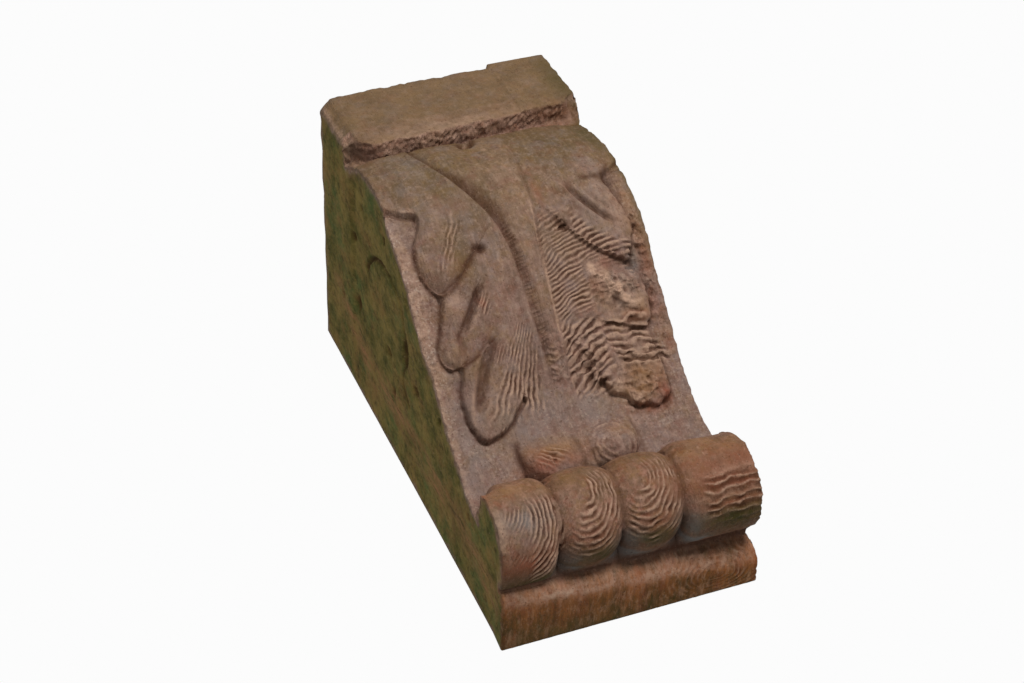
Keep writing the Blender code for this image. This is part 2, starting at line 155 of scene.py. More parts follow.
leaf = {
    "height": 4.2,
    "edgeWall": 0.8,  # half width of the cut round a lobe
    "edgeRound": 1.3,  # how far a lobe falls away towards its edge
    "edgeRoundRun": 3.0,
    "cutIn": 1.5,  # how deep the gouge bit into the field along that cut
    "cutInRun": 1.3,
    "budHeight": 9.2,
    "budBelow": 12.0,
    "budAbove": 17.0,
    "wobble": 0.45,  # unevenness left by the gouge
    "edgeUneven": 0.45,  # how far an outline strays
    "edgeTorn": 2.1,  # the same where the wood of the pattern had torn
    "tornDepth": (1.3, 1.6),  # hills and slits there
    "middleFade": (150.0, 180.0),  # where its middle sinks into the field
    "sideThinning": 0.6,
    "outerSide": (52.0, 70.0),  # where it thins, from the middle out
    "clearOfStem": (18.0, 24.0),  # its edges are only rounded and cut in this far out
    "roundedDown": (60.0, 75.0),  # and rounded from here on down
    "cliffReach": (12.0, 22.0),  # a step fades out this far from its line
    "fullerRight": (1.8, 1.6),  # the crown's right side stands out low down and lies back higher up
    "rightSide": (35.0, 70.0),
    "fullerDown": (62, 112, 14),
    "flatterDown": (26.0, 46.0),
    # outlines as (x, s)
    "leftOutline": (
        (2, -14), (-84, -14), (-84, 58), (-66, 63), (-59, 69), (-53, 72), (-53, 78), (-58, 87),
        (-60.5, 97), (-59.5, 108), (-53, 120), (-54, 127), (-58, 138), (-61, 150), (-58, 157), (-52, 158),
        (-54, 167), (-56, 180), (-53.5, 192), (-50, 198), (-41, 196.5), (-32, 191), (-23, 181),
        (-13, 186), (-9, 210), (2, 210),
    ),
    "rightOutline": (
        (-2, -14), (84, -14), (84, 58), (60, 69), (59, 80), (62, 95), (62, 106), (57, 121),
        (61, 136), (61, 148), (57, 158), (58, 168), (59, 182), (57, 196), (50, 200), (40, 198.5),
        (33, 193), (26, 187), (22, 180), (16, 188), (10, 210), (-2, 210),
    ),
    # steps inside the leaf: (points, drop at the start, drop at the end, run-out)
    "cliffs": (
        (((-60, 106), (-58, 113), (-53, 118.5), (-47, 116), (-40, 111), (-34, 105), (-28, 99)),
         4.2, 3.0, 7.0),
        (((-62, 148), (-60, 155), (-55, 158), (-48, 156), (-41, 153.5), (-34, 149)), 3.8, 2.4, 7.0),
        (((40, 72), (47, 71), (55, 70), (62, 68), (72, 60)), -0.2, -4.2, 6.0),
        (((24, 94), (29, 101), (36, 109), (46, 116), (57, 120), (62, 112)), -1.5, -5.0, 9.0),
        (((34, 151), (46, 155), (57, 158), (62, 150)), -1.5, -4.0, 7.0),
    ),
    # creases and ridges: (points, height, half width)
    "creases": (
        (((-48, 142), (-40, 132), (-34, 122), (-29, 116)), -3.4, 1.8),
        (((-50, 186), (-44, 169), (-38, 157), (-30, 144)), -4.2, 2.8),
        (((-54, 188), (-51, 174), (-45, 160), (-39, 151)), 1.2, 3.0),
        (((33, 68), (38, 80), (43, 88), (50, 97), (57, 103)), -3.0, 1.7),
        (((29, 71), (36, 85), (44, 97)), 1.4, 1.6),
        (((31, 120), (38, 130), (47, 141), (57, 151)), 2.2, 3.0),
        (((19, 20), (16, 45), (12, 75), (8, 105), (6, 130)), -0.9, 1.0),
        (((38, 168), (47, 171), (57, 174)), 1.3, 1.6),
        (((42, 76), (48, 86), (56, 96)), -0.8, 1.2),
        (((30, 45), (31, 52)), -0.6, 1.2),
    ),
    # round hollows and swellings: (x, s, radius across, radius down, height)
    "hollows": (
        (-26, 99, 2.3, 2.1, -4.4), (-46, 88, 4.0, 9.0, -1.2), (-35, 86, 5.0, 13.0, -1.0),
        (-60, 82, 6.0, 7.0, -2.6), (-63, 62, 8.0, 7.0, -1.6), (-60, 127, 5.0, 7.0, -2.2),
        (-57, 166, 5.0, 6.0, -1.6), (-49, 143, 2.6, 9.0, -1.8), (60, 84, 4.0, 8.0, -1.6),
        (60, 74, 3.6, 4.0, -3.6), (-49, 110, 7.0, 8.0, 1.5), (-54, 150, 5.0, 6.0, 1.4),
        (-43, 189, 9.0, 9.0, 1.6), (-27, 55, 13.0, 40.0, 1.6), (25, 96, 3.0, 2.2, -3.6),
        (57, 123, 4.5, 5.0, -3.5), (38, 143, 6.0, 6.0, -2.2), (51, 112, 8.0, 7.0, 1.2),
        (47, 122, 5.0, 4.0, -2.2), (41, 128, 3.0, 3.0, 1.4), (54, 134, 4.0, 5.0, 1.6),
        (47, 137, 2.5, 2.0, -1.4), (49, 192, 10.0, 9.0, 1.6), (-4, 22, 4.5, 4.2, -4.0),
        (46, 200, 16.0, 5.0, -1.7), (30, 190, 8.0, 6.0, -1.3),
    ),
    # where less of the stain and painted shade lies along an edge: (x, s, radius across, radius down, share
    # left out)
    "faintEdges": ((-62, 67, 9, 6, 0.55), (-56, 81, 6, 7, 0.85), (-57, 124, 5, 6, 0.6),
                   (-55, 163, 5, 5, 0.6), (46, 203, 15, 5, 0.7), (28, 188, 10, 7, 0.6)),
    "buds": ((-19.5, 217.0, 16.0), (14.5, 215.0, 17.0)),  # (x, s, half width)
    # dark lines along the cuts: stain, with painted shade under overhanging lobe edges and in the pits,
    # and painted shadow under the buds: (points, strength, reach)
    "shadeAndStainLines": (
        (((-60, 92), (-60.5, 101), (-59.5, 108), (-57, 115), (-53, 119), (-48, 118), (-42, 113),
          (-37, 108.5), (-32, 103.5), (-28, 99)), 1.2, 1.25),
        (((-54, 123), (-57, 134), (-61, 146), (-60.5, 155), (-56, 158), (-49, 156.5), (-41, 153)),
         1.1, 1.05),
        (((-34, 119), (-40, 128), (-45, 135), (-50, 143)), 1.0, 1.15),
        (((-31, 149), (-38, 160), (-44, 170), (-49, 181)), 0.75, 1.8),
        (((-67, 62), (-63, 68), (-58, 71), (-54, 73), (-54, 78)), 0.8, 0.9),
        (((44, 71), (52, 71.5), (58, 71), (63, 65)), 0.8, 1.3),
        (((58, 70), (60, 75)), 0.9, 2.0),
        (((-7, 20), (-3, 23), (1, 19)), 1.1, 2.8),
        (((-27.5, 98), (-25.5, 99.5)), 1.8, 2.2),
        (((21, 91.5), (25, 97)), 1.1, 2.2),
        (((-34, 203), (-35, 213), (-31, 223), (-22, 229)), 0.95, 1.9),
        (((-4, 207), (-3, 216), (-2, 226)), 0.6, 1.6),
        (((31, 206), (33, 214), (32, 222)), 0.6, 1.5),
        (((-22, 229), (0, 228), (30, 226)), 0.7, 1.4),
    ),
    # where the crests were rubbed pale, with painted highlights along the stem's ridge, the lobes' rims and
    # the torn ridge, in the same way
    "wornAndHighlightLines": (
        (((32, 121), (38, 129), (44, 138), (51, 147)), 1.6, 2.4),
        (((11, 78), (8, 100), (6.5, 125), (5.5, 150)), 1.0, 0.9),
        (((-57, 149), (-55, 154), (-50, 153.5)), 0.7, 1.1),
        (((-64, 65), (-57, 68.5), (-53, 70)), 0.6, 0.8),
        (((-30, 121), (-36, 130), (-41, 138)), 0.8, 1.2),
        (((-53, 193), (-53, 186), (-50, 174), (-44, 162)), 0.55, 1.2),
        (((24, 184), (30, 190), (36, 196)), 0.9, 1.2),
        (((-34, 76), (-38, 88), (-43, 103)), 0.5, 0.8),
        (((32, 72), (38, 84), (46, 96)), 0.5, 0.9),
    ),
    "budBridge": (-2.0, 214.0, 26.0, 0.62),  # the swelling that joins them, and its share of their height
}

mesh = {
    "columnStep": 0.5,
    "frontStep": 0.5,
    "rollStep": 1.1,  # degrees
    "sideStep": 1.2,
    "triangles": 188000,
    "seed": 7,
}


# small helpers for lines, outlines and chance

def held(value):
    return np.clip(value, 0.0, 1.0)


def ramp(low, high, value):
    t = held((value - low) / (high - low))
    return t * t * (3.0 - 2.0 * t)


def fall(low, high, value):
    return 1.0 - ramp(low, high, value)


def band(low, high, soft, value):
    return ramp(low - soft, low + soft, value) * fall(high - soft, high + soft, value)


def hump(value, power=2):
    return np.exp(-(value**power))


def tail(value):
    return np.exp(-np.clip(value, 0.0, None))


def around(x, s, middleX, middleS, radiusX, radiusS):
    return ((x - middleX) / radiusX) ** 2 + ((s - middleS) / radiusS) ** 2


def endBlend(pair, x):
    return pair[0] + (pair[1] - pair[0]) * (x / casting["width"] + 0.5)


def smoothLine(points, closed=False, pieces=4):
    p = np.array(points, float)
    p = np.vstack([p[-1:], p, p[:2]]) if closed else np.vstack([2 * p[0] - p[1], p, 2 * p[-1] - p[-2]])
    t = (np.arange(pieces) / pieces)[:, None]
    runs = []
    for a, b, c, d in zip(p[:-3], p[1:-2], p[2:-1], p[3:]):
        bend = 2 * a - 5 * b + 4 * c - d
        twist = 3 * (b - c) + d - a
        runs.append(0.5 * (2 * b + (c - a) * t + bend * t**2 + twist * t**3))
    if not closed:
        runs.append(p[-2:-1])
    return np.vstack(runs)


def nearestOnLine(x, s, line):
    # distance to the line, share of its length there, and the side: 1 on the left, -1 on the right
    best, share, side = np.full(x.shape, 1e9), np.zeros(x.shape), np.ones(x.shape)
    lengths = np.hypot(*np.diff(line, axis=0).T)
    walked = np.concatenate([[0.0], np.cumsum(lengths)])
    for start, end, length, before in zip(line[:-1], line[1:], lengths, walked):
        along = (end - start) / length
        dx, ds = x - start[0], s - start[1]
        t = np.clip(dx * along[0] + ds * along[1], 0.0, length)
        gap = np.hypot(dx - t * along[0], ds - t * along[1])
        closer = gap < best
        best = np.where(closer, gap, best)
        share = np.where(closer, (before + t) / walked[-1], share)
        side = np.where(closer, np.where(along[1] * dx - along[0] * ds > 0, 1.0, -1.0), side)
    return best, share, side


def insideOutline(x, s, line):
    loop = np.vstack([line, line[:1]])
    gap, _, _ = nearestOnLine(x, s, loop)
    crossings = np.zeros(x.shape, int)
    for (firstX, firstS), (lastX, lastS) in zip(loop[:-1], loop[1:]):
        if firstS != lastS:
            cut = firstX + (s - firstS) * (lastX - firstX) / (lastS - firstS)
            crossings += ((s < firstS) != (s < lastS)) & (x < cut)
    return np.where(crossings % 2 == 1, gap, -gap)


def chance(a, b, size, seed):
    # smooth random hills between -1 and 1, about "size" apart
    table = np.random.default_rng(mesh["seed"] * 1000 + seed).uniform(-1.0, 1.0, (97, 101))
    u, v = np.asarray(a) / size + 500.0, np.asarray(b) / size + 500.0
    i, j = np.floor(u).astype(int), np.floor(v).astype(int)
    fu, fv = u - i, v - j
    fu, fv = fu * fu * (3 - 2 * fu), fv * fv * (3 - 2 * fv)

    def corner(di, dj):
        return table[(i + di) % 97, (j + dj) % 101]

    low = corner(0, 0) * (1 - fu) + corner(1, 0) * fu
    high = corner(0, 1) * (1 - fu) + corner(1, 1) * fu
    return low * (1 - fv) + high * fv


def softened(values, reach):
    # running mean both ways over a grid, twice
    for _ in range(2):
        for axis in (0, 1):
            pad = [(0, 0), (0, 0)]
            pad[axis] = (reach + 1, reach)
            total = np.cumsum(np.pad(values, pad, mode="edge"), axis=axis)
            size = 2 * reach + 1
            upper = np.take(total, range(size, total.shape[axis]), axis=axis)
            values = (upper - np.take(total, range(0, total.shape[axis] - size), axis=axis)) / size
    return values


def spots(x, s, table):
    # soft patches with uneven edges, each (x, s or down, radius across, radius down, strength)
    value = np.zeros(np.broadcast(x, s).shape)
    uneven = 1.0 + 0.45 * chance(x, s, 5.0, 8) + 0.3 * chance(x, s, 2.0, 9)
    for *place, strength in table:
        value = np.maximum(value, strength * np.exp(-around(x, s, *place) * uneven))
    return value


# where the finish changes, as (x, down, radius across, radius down, strength): the roll is from 231
# on, the groove at 335 and the end face of the foot from 355

roughSpots = (
    (44, 133, 15, 13, 1.0), (44, 188, 16, 20, 1.0), (64, 130, 4, 40, 1.0), (18, 168, 14, 18, 0.75),
    (-17, 216, 16, 9, 0.55), (14, 214, 15, 9, 0.4), (48, 113, 12, 7, 0.4),
    (-67, 130, 3, 60, 0.4), (0, 162, 6, 20, 0.5), (-6, 20, 5, 5, 0.6),
)

stainSpots = {
    "olive": (
        (67, -20, 9, 34, 0.7), (71, 5, 9, 12, 1.0), (-68, 2, 6, 16, 0.5), (66, 32, 8, 22, 0.8),
        (70, 80, 4, 50, 0.7), (42, 38, 22, 20, 0.25), (-30, 60, 26, 26, 0.2), (-38, 92, 10, 16, 0.3),
        (-50, 322, 34, 9, 1.0), (-18, 314, 20, 10, 1.0), (14, 312, 20, 10, 1.0), (55, 311, 30, 11, 1.1),
        (-16, 262, 14, 12, 0.35), (16, 258, 13, 10, 0.35), (0, 384, 95, 16, 0.8), (-70, 300, 4, 60, 0.4),
        (-40, 187, 7, 12, 0.3), (-33, 110, 6, 10, 0.25), (-60, 314, 22, 9, 0.6),
        (54, 286, 28, 14, 0.55), (54, 8, 18, 6, 0.65),
    ),
    "ochre": (
        (-57, 266, 22, 9, 0.7), (52, 262, 26, 12, 0.6), (-27, 262, 8, 7, 0.6), (3, 258, 6, 8, 0.7),
        (-19, 213, 15, 7, 1.2), (-12, 209, 10, 5, 0.7), (46, 180, 12, 10, 0.9), (38, 190, 12, 7, 0.8),
        (64, 100, 5, 34, 0.5), (50, 147, 8, 6, 0.8), (-55, 151, 5, 5, 0.6), (20, 210, 10, 6, 0.35),
        (36, 140, 7, 8, 0.5), (60, 300, 20, 5, 0.3),
    ),
    "rust": (
        (-27, 219, 9, 8, 1.1), (-14, 219, 12, 5, 0.6), (52, 8, 16, 6, 0.6), (54, 195, 3.4, 5.5, 1.5),
        (-34, 126, 2.2, 3.2, 1.6), (64, 122, 4, 9, 0.65), (63, 145, 4, 7, 0.5), (15, 74, 2, 9, 0.7),
        (-55, 308, 24, 8, 0.9),
        (-20, 302, 12, 7, 0.6), (12, 300, 13, 7, 0.6), (54, 291, 26, 2.6, 1.1), (54, 301, 26, 3, 0.9),
        (54, 281, 26, 2, 0.6), (0, 346, 110, 5, 0.6), (44, 118, 10, 6, 0.4), (48, 200, 9, 3, 0.7),
        (33, 130, 5, 5, 0.7), (-70, 262, 3, 8, 0.9), (66, 168, 3, 5, 0.6), (54, 286, 28, 14, 0.95),
        (40, 120, 5, 4, 0.9), (48, 150, 7, 3, 0.9),
    ),
    # pale rubbed wear, with painted highlights along the block's left arris, the foot's top edge and the
    # torn lobes of the right leaf
    "worn": (
        (-66, 124, 5, 44, 0.5), (42, 138, 9, 12, 0.4), (-12, 6, 38, 6, 0.6), (-42, 178, 10, 14, 0.25),
        (17, 165, 10, 14, 0.22), (52, 88, 10, 14, 0.25), (3, 60, 8, 40, 0.2), (-2, 105, 9, 40, 0.14),
        (-69, 150, 2.4, 70, 0.8), (49, 170, 10, 2.5, 1.1), (30, 184, 4, 3, 1.0), (37, 194, 4, 2.5, 1.0),
        (-69, -25, 1.6, 26, 0.8), (-35, 346, 38, 4, 0.8), (24, 346, 46, 4, 0.7), (47, 175, 9, 1.6, 0.8),
        (36, 126, 4, 6, 1.0), (-50, 122, 7, 4, 0.5), (35, 125, 5, 5, 0.9), (42, 135, 6, 5, 1.2),
        (50, 143, 5, 4, 1.0), (54, 172, 6, 7, 0.9), (44, 162, 10, 4, 0.5), (1, 34, 2.5, 12, 0.35),
        (-44, 82, 2, 12, 0.3), (37, 82, 2, 9, 0.4), (-68, 288, 3, 10, 0.7), (54, 284, 24, 2.5, 0.35),
        (-70, 240, 4, 5, 0.6), (54, 296, 24, 2, 0.3), (-60, 345, 8, 4, 0.4), (20, 345, 14, 4, 0.4),
    ),
    "dust": (
        (57, 122, 5, 7, 1.0), (-36, 315, 6.5, 10, 1.0), (-3, 313, 6.5, 10, 1.0), (31, 311, 6.5, 10, 1.0),
        (-36, 329, 10, 5, 2.2), (-3, 328, 10, 5, 2.2), (31, 326, 10, 5, 2.2),
        (-22, 192, 22, 16, 0.3), (-60, 188, 9, 26, 0.3), (12, 190, 14, 9, 0.4), (-54, 284, 17, 10, 0.85),
        (-45, 33, 16, 14, 0.3), (40, 88, 8, 10, 0.35), (-30, 335, 40, 5, 0.5), (12, 334, 30, 5, 0.6),
        (0, 339, 110, 4, 0.4), (42, 133, 12, 12, 0.35),
    ),
}


# the carved relief, the same forms as the solid with crisper cuts

def stemEdges(s):
    left = np.interp(s, *np.array(stem["left"]).T)
    low, further = stem["right"]
    return left, low + further * fall(*stem["narrows"], s)


def stemRelief(x, s):
    # the groove has a steep left wall and rises slowly into the rounded stem on its right
    left, right = stemEdges(s)
    fade = fall(*stem["fade"], s)
    across = held((x - left) / (right - left))
    crown = stem["crown"] * np.sqrt(np.sin(math.pi * across)) * fade * ramp(*stem["crownRise"], s)
    run = x - left - stem["grooveAt"]
    shape = ramp(-2.2, 0.2, run) * tail(run / stem["grooveRun"])
    lipHeight, lipAway, lipWidth = stem["lip"]
    groove = stem["grooveDepth"] * shape - lipHeight * hump((x - left + lipAway) / lipWidth)
    groove = groove * ramp(*stem["grooveRise"], s) * fall(*stem["grooveFade"], s)
    ridgeHeight, ridgeWidth = stem["ridge"]
    ridge = ridgeHeight * hump((x - right) / ridgeWidth) * ramp(*stem["ridgeRise"], s) * fade
    return crown - groove + ridge


# darker along the stem's groove: stain and painted shade
def stemGrooveStainAndShade(x, s):
    run = x - stemEdges(s)[0] - stem["grooveAt"]
    least, atBend, below = stem["stainWidth"]
    wide = least + atBend * band(50, 88, 10, s) + below * ramp(80, 100, s)
    share = ramp(-1.6, 0.0, run) * fall(0.4 * wide, 1.25 * wide, run + 1.5 * chance(x, s, 3.0, 18))
    return share * band(16, 160, 8, s) * (0.78 - 0.4 * ramp(95, 125, s))


def budRelief(x, s):
    height = np.zeros(x.shape)
    for middle, top, wide, share in [bud + (1.0,) for bud in leaf["buds"]] + [leaf["budBridge"]]:
        across = held(1.0 - np.abs((x - middle) / wide) ** 2.5)
        nose = held((s - top) / leaf["budBelow"])
        rise = ramp(0.0, 1.0, 1.0 - held((top - s) / leaf["budAbove"]))
        bud = share * leaf["budHeight"] * np.sqrt(held(across - nose**2)) * rise
        height = np.maximum(height, bud)
    return height


def alongLines(x, s, lines):
    shares = [strength * hump(nearestOnLine(x, s, smoothLine(points))[0] / reach)
              for points, strength, reach in lines]
    return np.max(shares, axis=0)


def relief(x, s):
    # height over the plain curve, how far the leaf covers the flat field, and how much a cut shows
    left = insideOutline(x, s, smoothLine(leaf["leftOutline"], closed=True))
    right = insideOutline(x, s, smoothLine(leaf["rightOutline"], closed=True))
    torn = spots(x, s, roughSpots)
    inner = (np.maximum(left, right) + leaf["edgeUneven"] * chance(x, s, 3.2, 1)
             + leaf["edgeTorn"] * torn * chance(x, s, 2.8, 10))
    wall, fromMiddle = leaf["edgeWall"], np.abs(x)
    cover = ramp(-wall, wall, inner)
    slopeS = np.gradient(softened(inner, 2), axis=1) / mesh["frontStep"]
    facing = ramp(-0.5, 0.6, -slopeS)          # 1 where the lobe's edge looks down to the foot
    toFoot = 1.0 - ramp(*leaf["middleFade"], s) * fall(17.0, 22.0, np.abs(x + 1.0))
    toSide = 1.0 - leaf["sideThinning"] * ramp(*leaf["outerSide"], fromMiddle)
    height = leaf["height"] * cover * toFoot * toSide
    rounding = leaf["edgeRound"] * tail(inner / leaf["edgeRoundRun"])
    height -= rounding * cover * ramp(*leaf["clearOfStem"], fromMiddle) * ramp(*leaf["roundedDown"], s)
    cutIn = leaf["cutIn"] * np.exp(-np.abs(inner + wall) / leaf["cutInRun"]) * (0.25 + 0.75 * facing)
    nearStem, clear = leaf["clearOfStem"]
    height -= cutIn * (1.0 - cover) * ramp(nearStem + 1.0, clear, fromMiddle)
    height += stemRelief(x, s) * cover
    for points, firstDrop, lastDrop, runOut in leaf["cliffs"]:
        gap, share, side = nearestOnLine(x, s, smoothLine(points))
        low = side * (1.0 if firstDrop > 0 else -1.0)
        drop = abs(firstDrop) + (abs(lastDrop) - abs(firstDrop)) * share
        step = ramp(0.0, 1.6 * wall, gap * low) * tail(gap * low / runOut)
        height -= drop * step * cover * fall(*leaf["cliffReach"], gap)
    settled = np.zeros(x.shape)
    for points, crest, reach in leaf["creases"]:
        gap, share, _ = nearestOnLine(x, s, smoothLine(points))
        ends = ramp(0.0, 0.25, share) * fall(0.72, 1.0, share)
        shape = hump(gap / reach) * (0.12 + 0.88 * ends)
        height += crest * shape
        # darker along the deeper creases: stain and painted shade
        settled = np.maximum(settled, 0.3 * np.clip(-crest, 0.0, 2.4) * shape)
    for *place, crest in leaf["hollows"]:
        height += crest * np.exp(-around(x, s, *place))
    strokes = chance(x + 0.3 * s, s * 0.35, 4.5, 5) + 0.6 * chance(x, s * 0.5, 2.2, 6)
    hills, slits = leaf["tornDepth"]
    height += (leaf["wobble"] * strokes * (0.5 + 0.9 * torn)
               + hills * torn * chance(x * 0.8, s * 1.3, 3.0, 7))
    height += torn * (0.5 - slits * np.abs(chance(x + 0.4 * s, s - 0.3 * x, 4.2, 15)))
    out, back = leaf["fullerRight"]
    fuller = out * band(*leaf["fullerDown"], s) - back * fall(*leaf["flatterDown"], s)
    height += ramp(*leaf["rightSide"], x) * fuller
    settled = np.maximum(settled, stemGrooveStainAndShade(x, s))
    settled = np.maximum(settled, alongLines(x, s, leaf["shadeAndStainLines"]))
    return height + budRelief(x, s), cover * toFoot, settled


def frontCurve(s):
    lengths = [front["crownLength"], front["slopeLength"], front["neckLength"]]
    knots = np.concatenate([[0.0], np.cumsum(lengths)])
    turns = [front["crownAngle"], front["slopeAngle"], front["slopeAngle"], front["neckAngle"]]
    fine = np.linspace(0.0, front["to"], 800)
    angle = np.radians(np.interp(fine, knots, turns))
    step = fine[1] - fine[0]
    middles = (angle[1:] + angle[:-1]) / 2.0
    y = front["start"][0] + np.concatenate([[0.0], np.cumsum(np.sin(middles)) * step])
    z = front["start"][1] - np.concatenate([[0.0], np.cumsum(np.cos(middles)) * step])
    at = np.interp(s, fine, angle)
    return np.interp(s, fine, y), np.interp(s, fine, z), -np.cos(at), -np.sin(at)


# tool marks: how many ridges have passed (turns), how deep they are and how narrow the cut

# (spacing of the ridges in mm, depth in mm, how much narrower the cut is than the ridge beside it)
marks = {
    "comb": (2.5, 1.05, 2.0),
    "ladder": (2.2, 0.7, 1.4),
    "coarse": (4.4, 1.6, 3.0),
    "waves": (4.3, 1.7, 2.2),
    "chevron": (3.3, 0.7, 1.8),
    "veins": (2.2, 1.0, 2.6),
    "scribbles": (1.9, 0.8, 1.8),
    "lobeGrooves": (2.5, 0.78, 1.6),
    "fringe": (3.0, 1.2, 2.0),
    "budStrokes": (3.0, 0.75, 1.8),
    "leftEnd": (2.5, 1.2, 1.9),
    "strokes": (2.1, 0.6, 1.5),
    "beads": (2.3, 1.0, 1.7),
    "feather": (2.3, 0.95, 1.8),
    "rightEnd": (4.6, 0.85, 0.8),
    "gouges": (4.2, 0.85, 1.8),
    "fillet": (3.4, 0.5, 1.6),
}


def strongest(families, shape):
    turns, depth, narrow = np.zeros(shape), np.zeros(shape), np.ones(shape)
    for name, phase, mask in families:
        spacing, deepest, ownNarrow = marks[name]
        own = deepest * mask
        turns = np.where(own > depth, phase / spacing, turns)
        narrow = np.where(own > depth, ownNarrow, narrow)
        depth = np.maximum(depth, own)
    return {"turns": turns, "depth": depth, "narrow": narrow}


# where the marks lie on the front, as (from, to, softness) in mm: "Down" along s, "Across" along x
frontAreas = {
    "combDown": (90, 150, 7),
    "combFineDown": (90, 140, 7),
    "combFineAcross": (28, 58, 3),
    "coarseDown": (146, 186, 6),
    "wavesDown": (149, 178, 3),
    "wavesAcross": (30, 57, 3),
    "ladderDown": (88, 156, 3),
    "chevronDown": (156, 182, 4),
    "veinsDown": (136, 190, 9),
    "veinsTurn": (10, 34, 4),  # degrees from straight down
    "veinsMeet": 115.0,  # the s that they fan out from
    "lobeEdge": ((24, 92), (29, 100), (36, 108), (46, 115), (60, 120)),
    "rightBud": (15, 217),  # the middle of its rings
    # patches, as in roughSpots
    "tips": ((-27, 190, 6, 5, 1.0), (-36, 196, 5, 3, 0.9)),
    "scribbles": ((-31, 124, 5, 12, 1.1), (-29, 158, 5, 13, 0.9)),
    "leftBud": ((-19, 216, 13, 8, 1.0),),
}


def frontMarks(x, s, cover):
    area = frontAreas
    left, right = stemEdges(s)
    edgeGap, _, edgeSide = nearestOnLine(x, s, smoothLine(area["lobeEdge"]))
    above = (edgeSide > 0) * ramp(22, 26, x)
    uneven = chance(x, s, 6.0, 62)
    raggedX = x + 3 * uneven
    besideStem = ramp(0.5, 3.0, x - right)
    tornSide = ramp(25, 33, raggedX) * ramp(112, 120, s - 0.5 * (x - 30))
    comb = band(*area["combDown"], s + 0.2 * x) * besideStem * fall(57, 61, x) * cover
    comb *= (1.0 - above) * (1.0 - tornSide)
    combPhase = s + 0.56 * x - 0.0046 * x**2 + 1.3 * chance(x, s, 9.0, 61)
    combFine = band(*area["combFineDown"], s) * band(*area["combFineAcross"], x) * (1.0 - above) * tornSide
    coarse = band(*area["coarseDown"], s) * besideStem * fall(27, 34, raggedX)
    coarsePhase = s + 0.95 * x - 0.008 * x**2 + 1.6 * chance(x, s, 7.0, 63)
    spreadX = x - 0.5 * np.clip(s - 160, 0, None)
    waves = band(*area["wavesDown"], s + 2 * uneven) * band(*area["wavesAcross"], spreadX)
    waves *= 0.75 + 0.4 * uneven
    fringe = above * fall(5.0, 11.0, edgeGap) * fall(58, 62, x) * ramp(27, 31, x)
    ladder = band(*area["ladderDown"], s) * hump((x - left - 2.4) / 2.6, 4) * (0.8 + 0.4 * uneven)
    chevron = band(*area["chevronDown"], s) * hump((x + 0.5) / 4.6, 4) * (1.0 - 0.5 * ramp(155, 175, s))
    fan = np.degrees(np.arctan2(-x, s - area["veinsMeet"]))
    veins = band(*area["veinsDown"], s) * band(*area["veinsTurn"], fan + 3 * uneven)
    veins *= ramp(0.0, 4.0, left - 1.5 - x)
    budX, budS = area["rightBud"]
    budRing = np.hypot(x - budX, 0.9 * (s - budS))
    grooves = np.exp(-(((x + 39 + 0.5 * (s - 90)) / 5.5) ** 4 + ((s - 93) / 16.0) ** 4))
    return strongest([
        ("comb", combPhase, comb * (0.85 + 0.3 * uneven)),
        ("coarse", coarsePhase, coarse * (0.8 + 0.4 * uneven)),
        ("waves", s - 0.1 * x + 1.5 * uneven, waves),
        ("comb", s + 0.15 * x + 1.5 * uneven, 0.45 * combFine),
        ("fringe", s + 0.12 * x - 0.006 * (x - 45) ** 2, fringe),
        ("ladder", s + 0.2 * x, ladder),
        ("chevron", s + 0.5 * np.abs(x + 0.5), chevron),
        ("veins", fan * 0.85 + 0.5 * uneven, veins * (0.8 + 0.4 * uneven)),
        ("veins", 0.92 * x + 0.4 * s, spots(x, s, area["tips"]) * cover),
        ("scribbles", 0.86 * x + 0.5 * s, spots(x, s, area["scribbles"]) * cover),
        ("lobeGrooves", 0.88 * x + 0.48 * s, grooves),
        ("budStrokes", 0.6 * x - 0.8 * s, spots(x, s, area["leftBud"])),
        ("budStrokes", budRing, band(3.0, 14.0, 2.0, budRing) * (0.6 + 0.5 * uneven)),
    ], x.shape)


# the same on the roll: "Across" in mm, "Round" in degrees round it
rollAreas = {
    "rightEndAcross": (38, 78, 3),
    "rightEndRound": (196, 300, 16),
    "rightEndDeep": (214, 266, 8),
    "strokesAcross": (-67, -48, 4.0),
    "strokesRound": (192, 262, 12),
    "leftEndRings": (14.0, 36.0, 1.5),
    "ringsRound": (168, 278, 12),
    "ringsTurn": (-35.0, 125.0, 18.0),  # degrees round the middle of the rings
    "flattened": (1.3, 1.7),  # how much the rings are drawn out round the roll: (end, beads)
}


def leaned(x, angle):
    return x - roll["lean"] * ramp(*roll["leanRun"], angle)


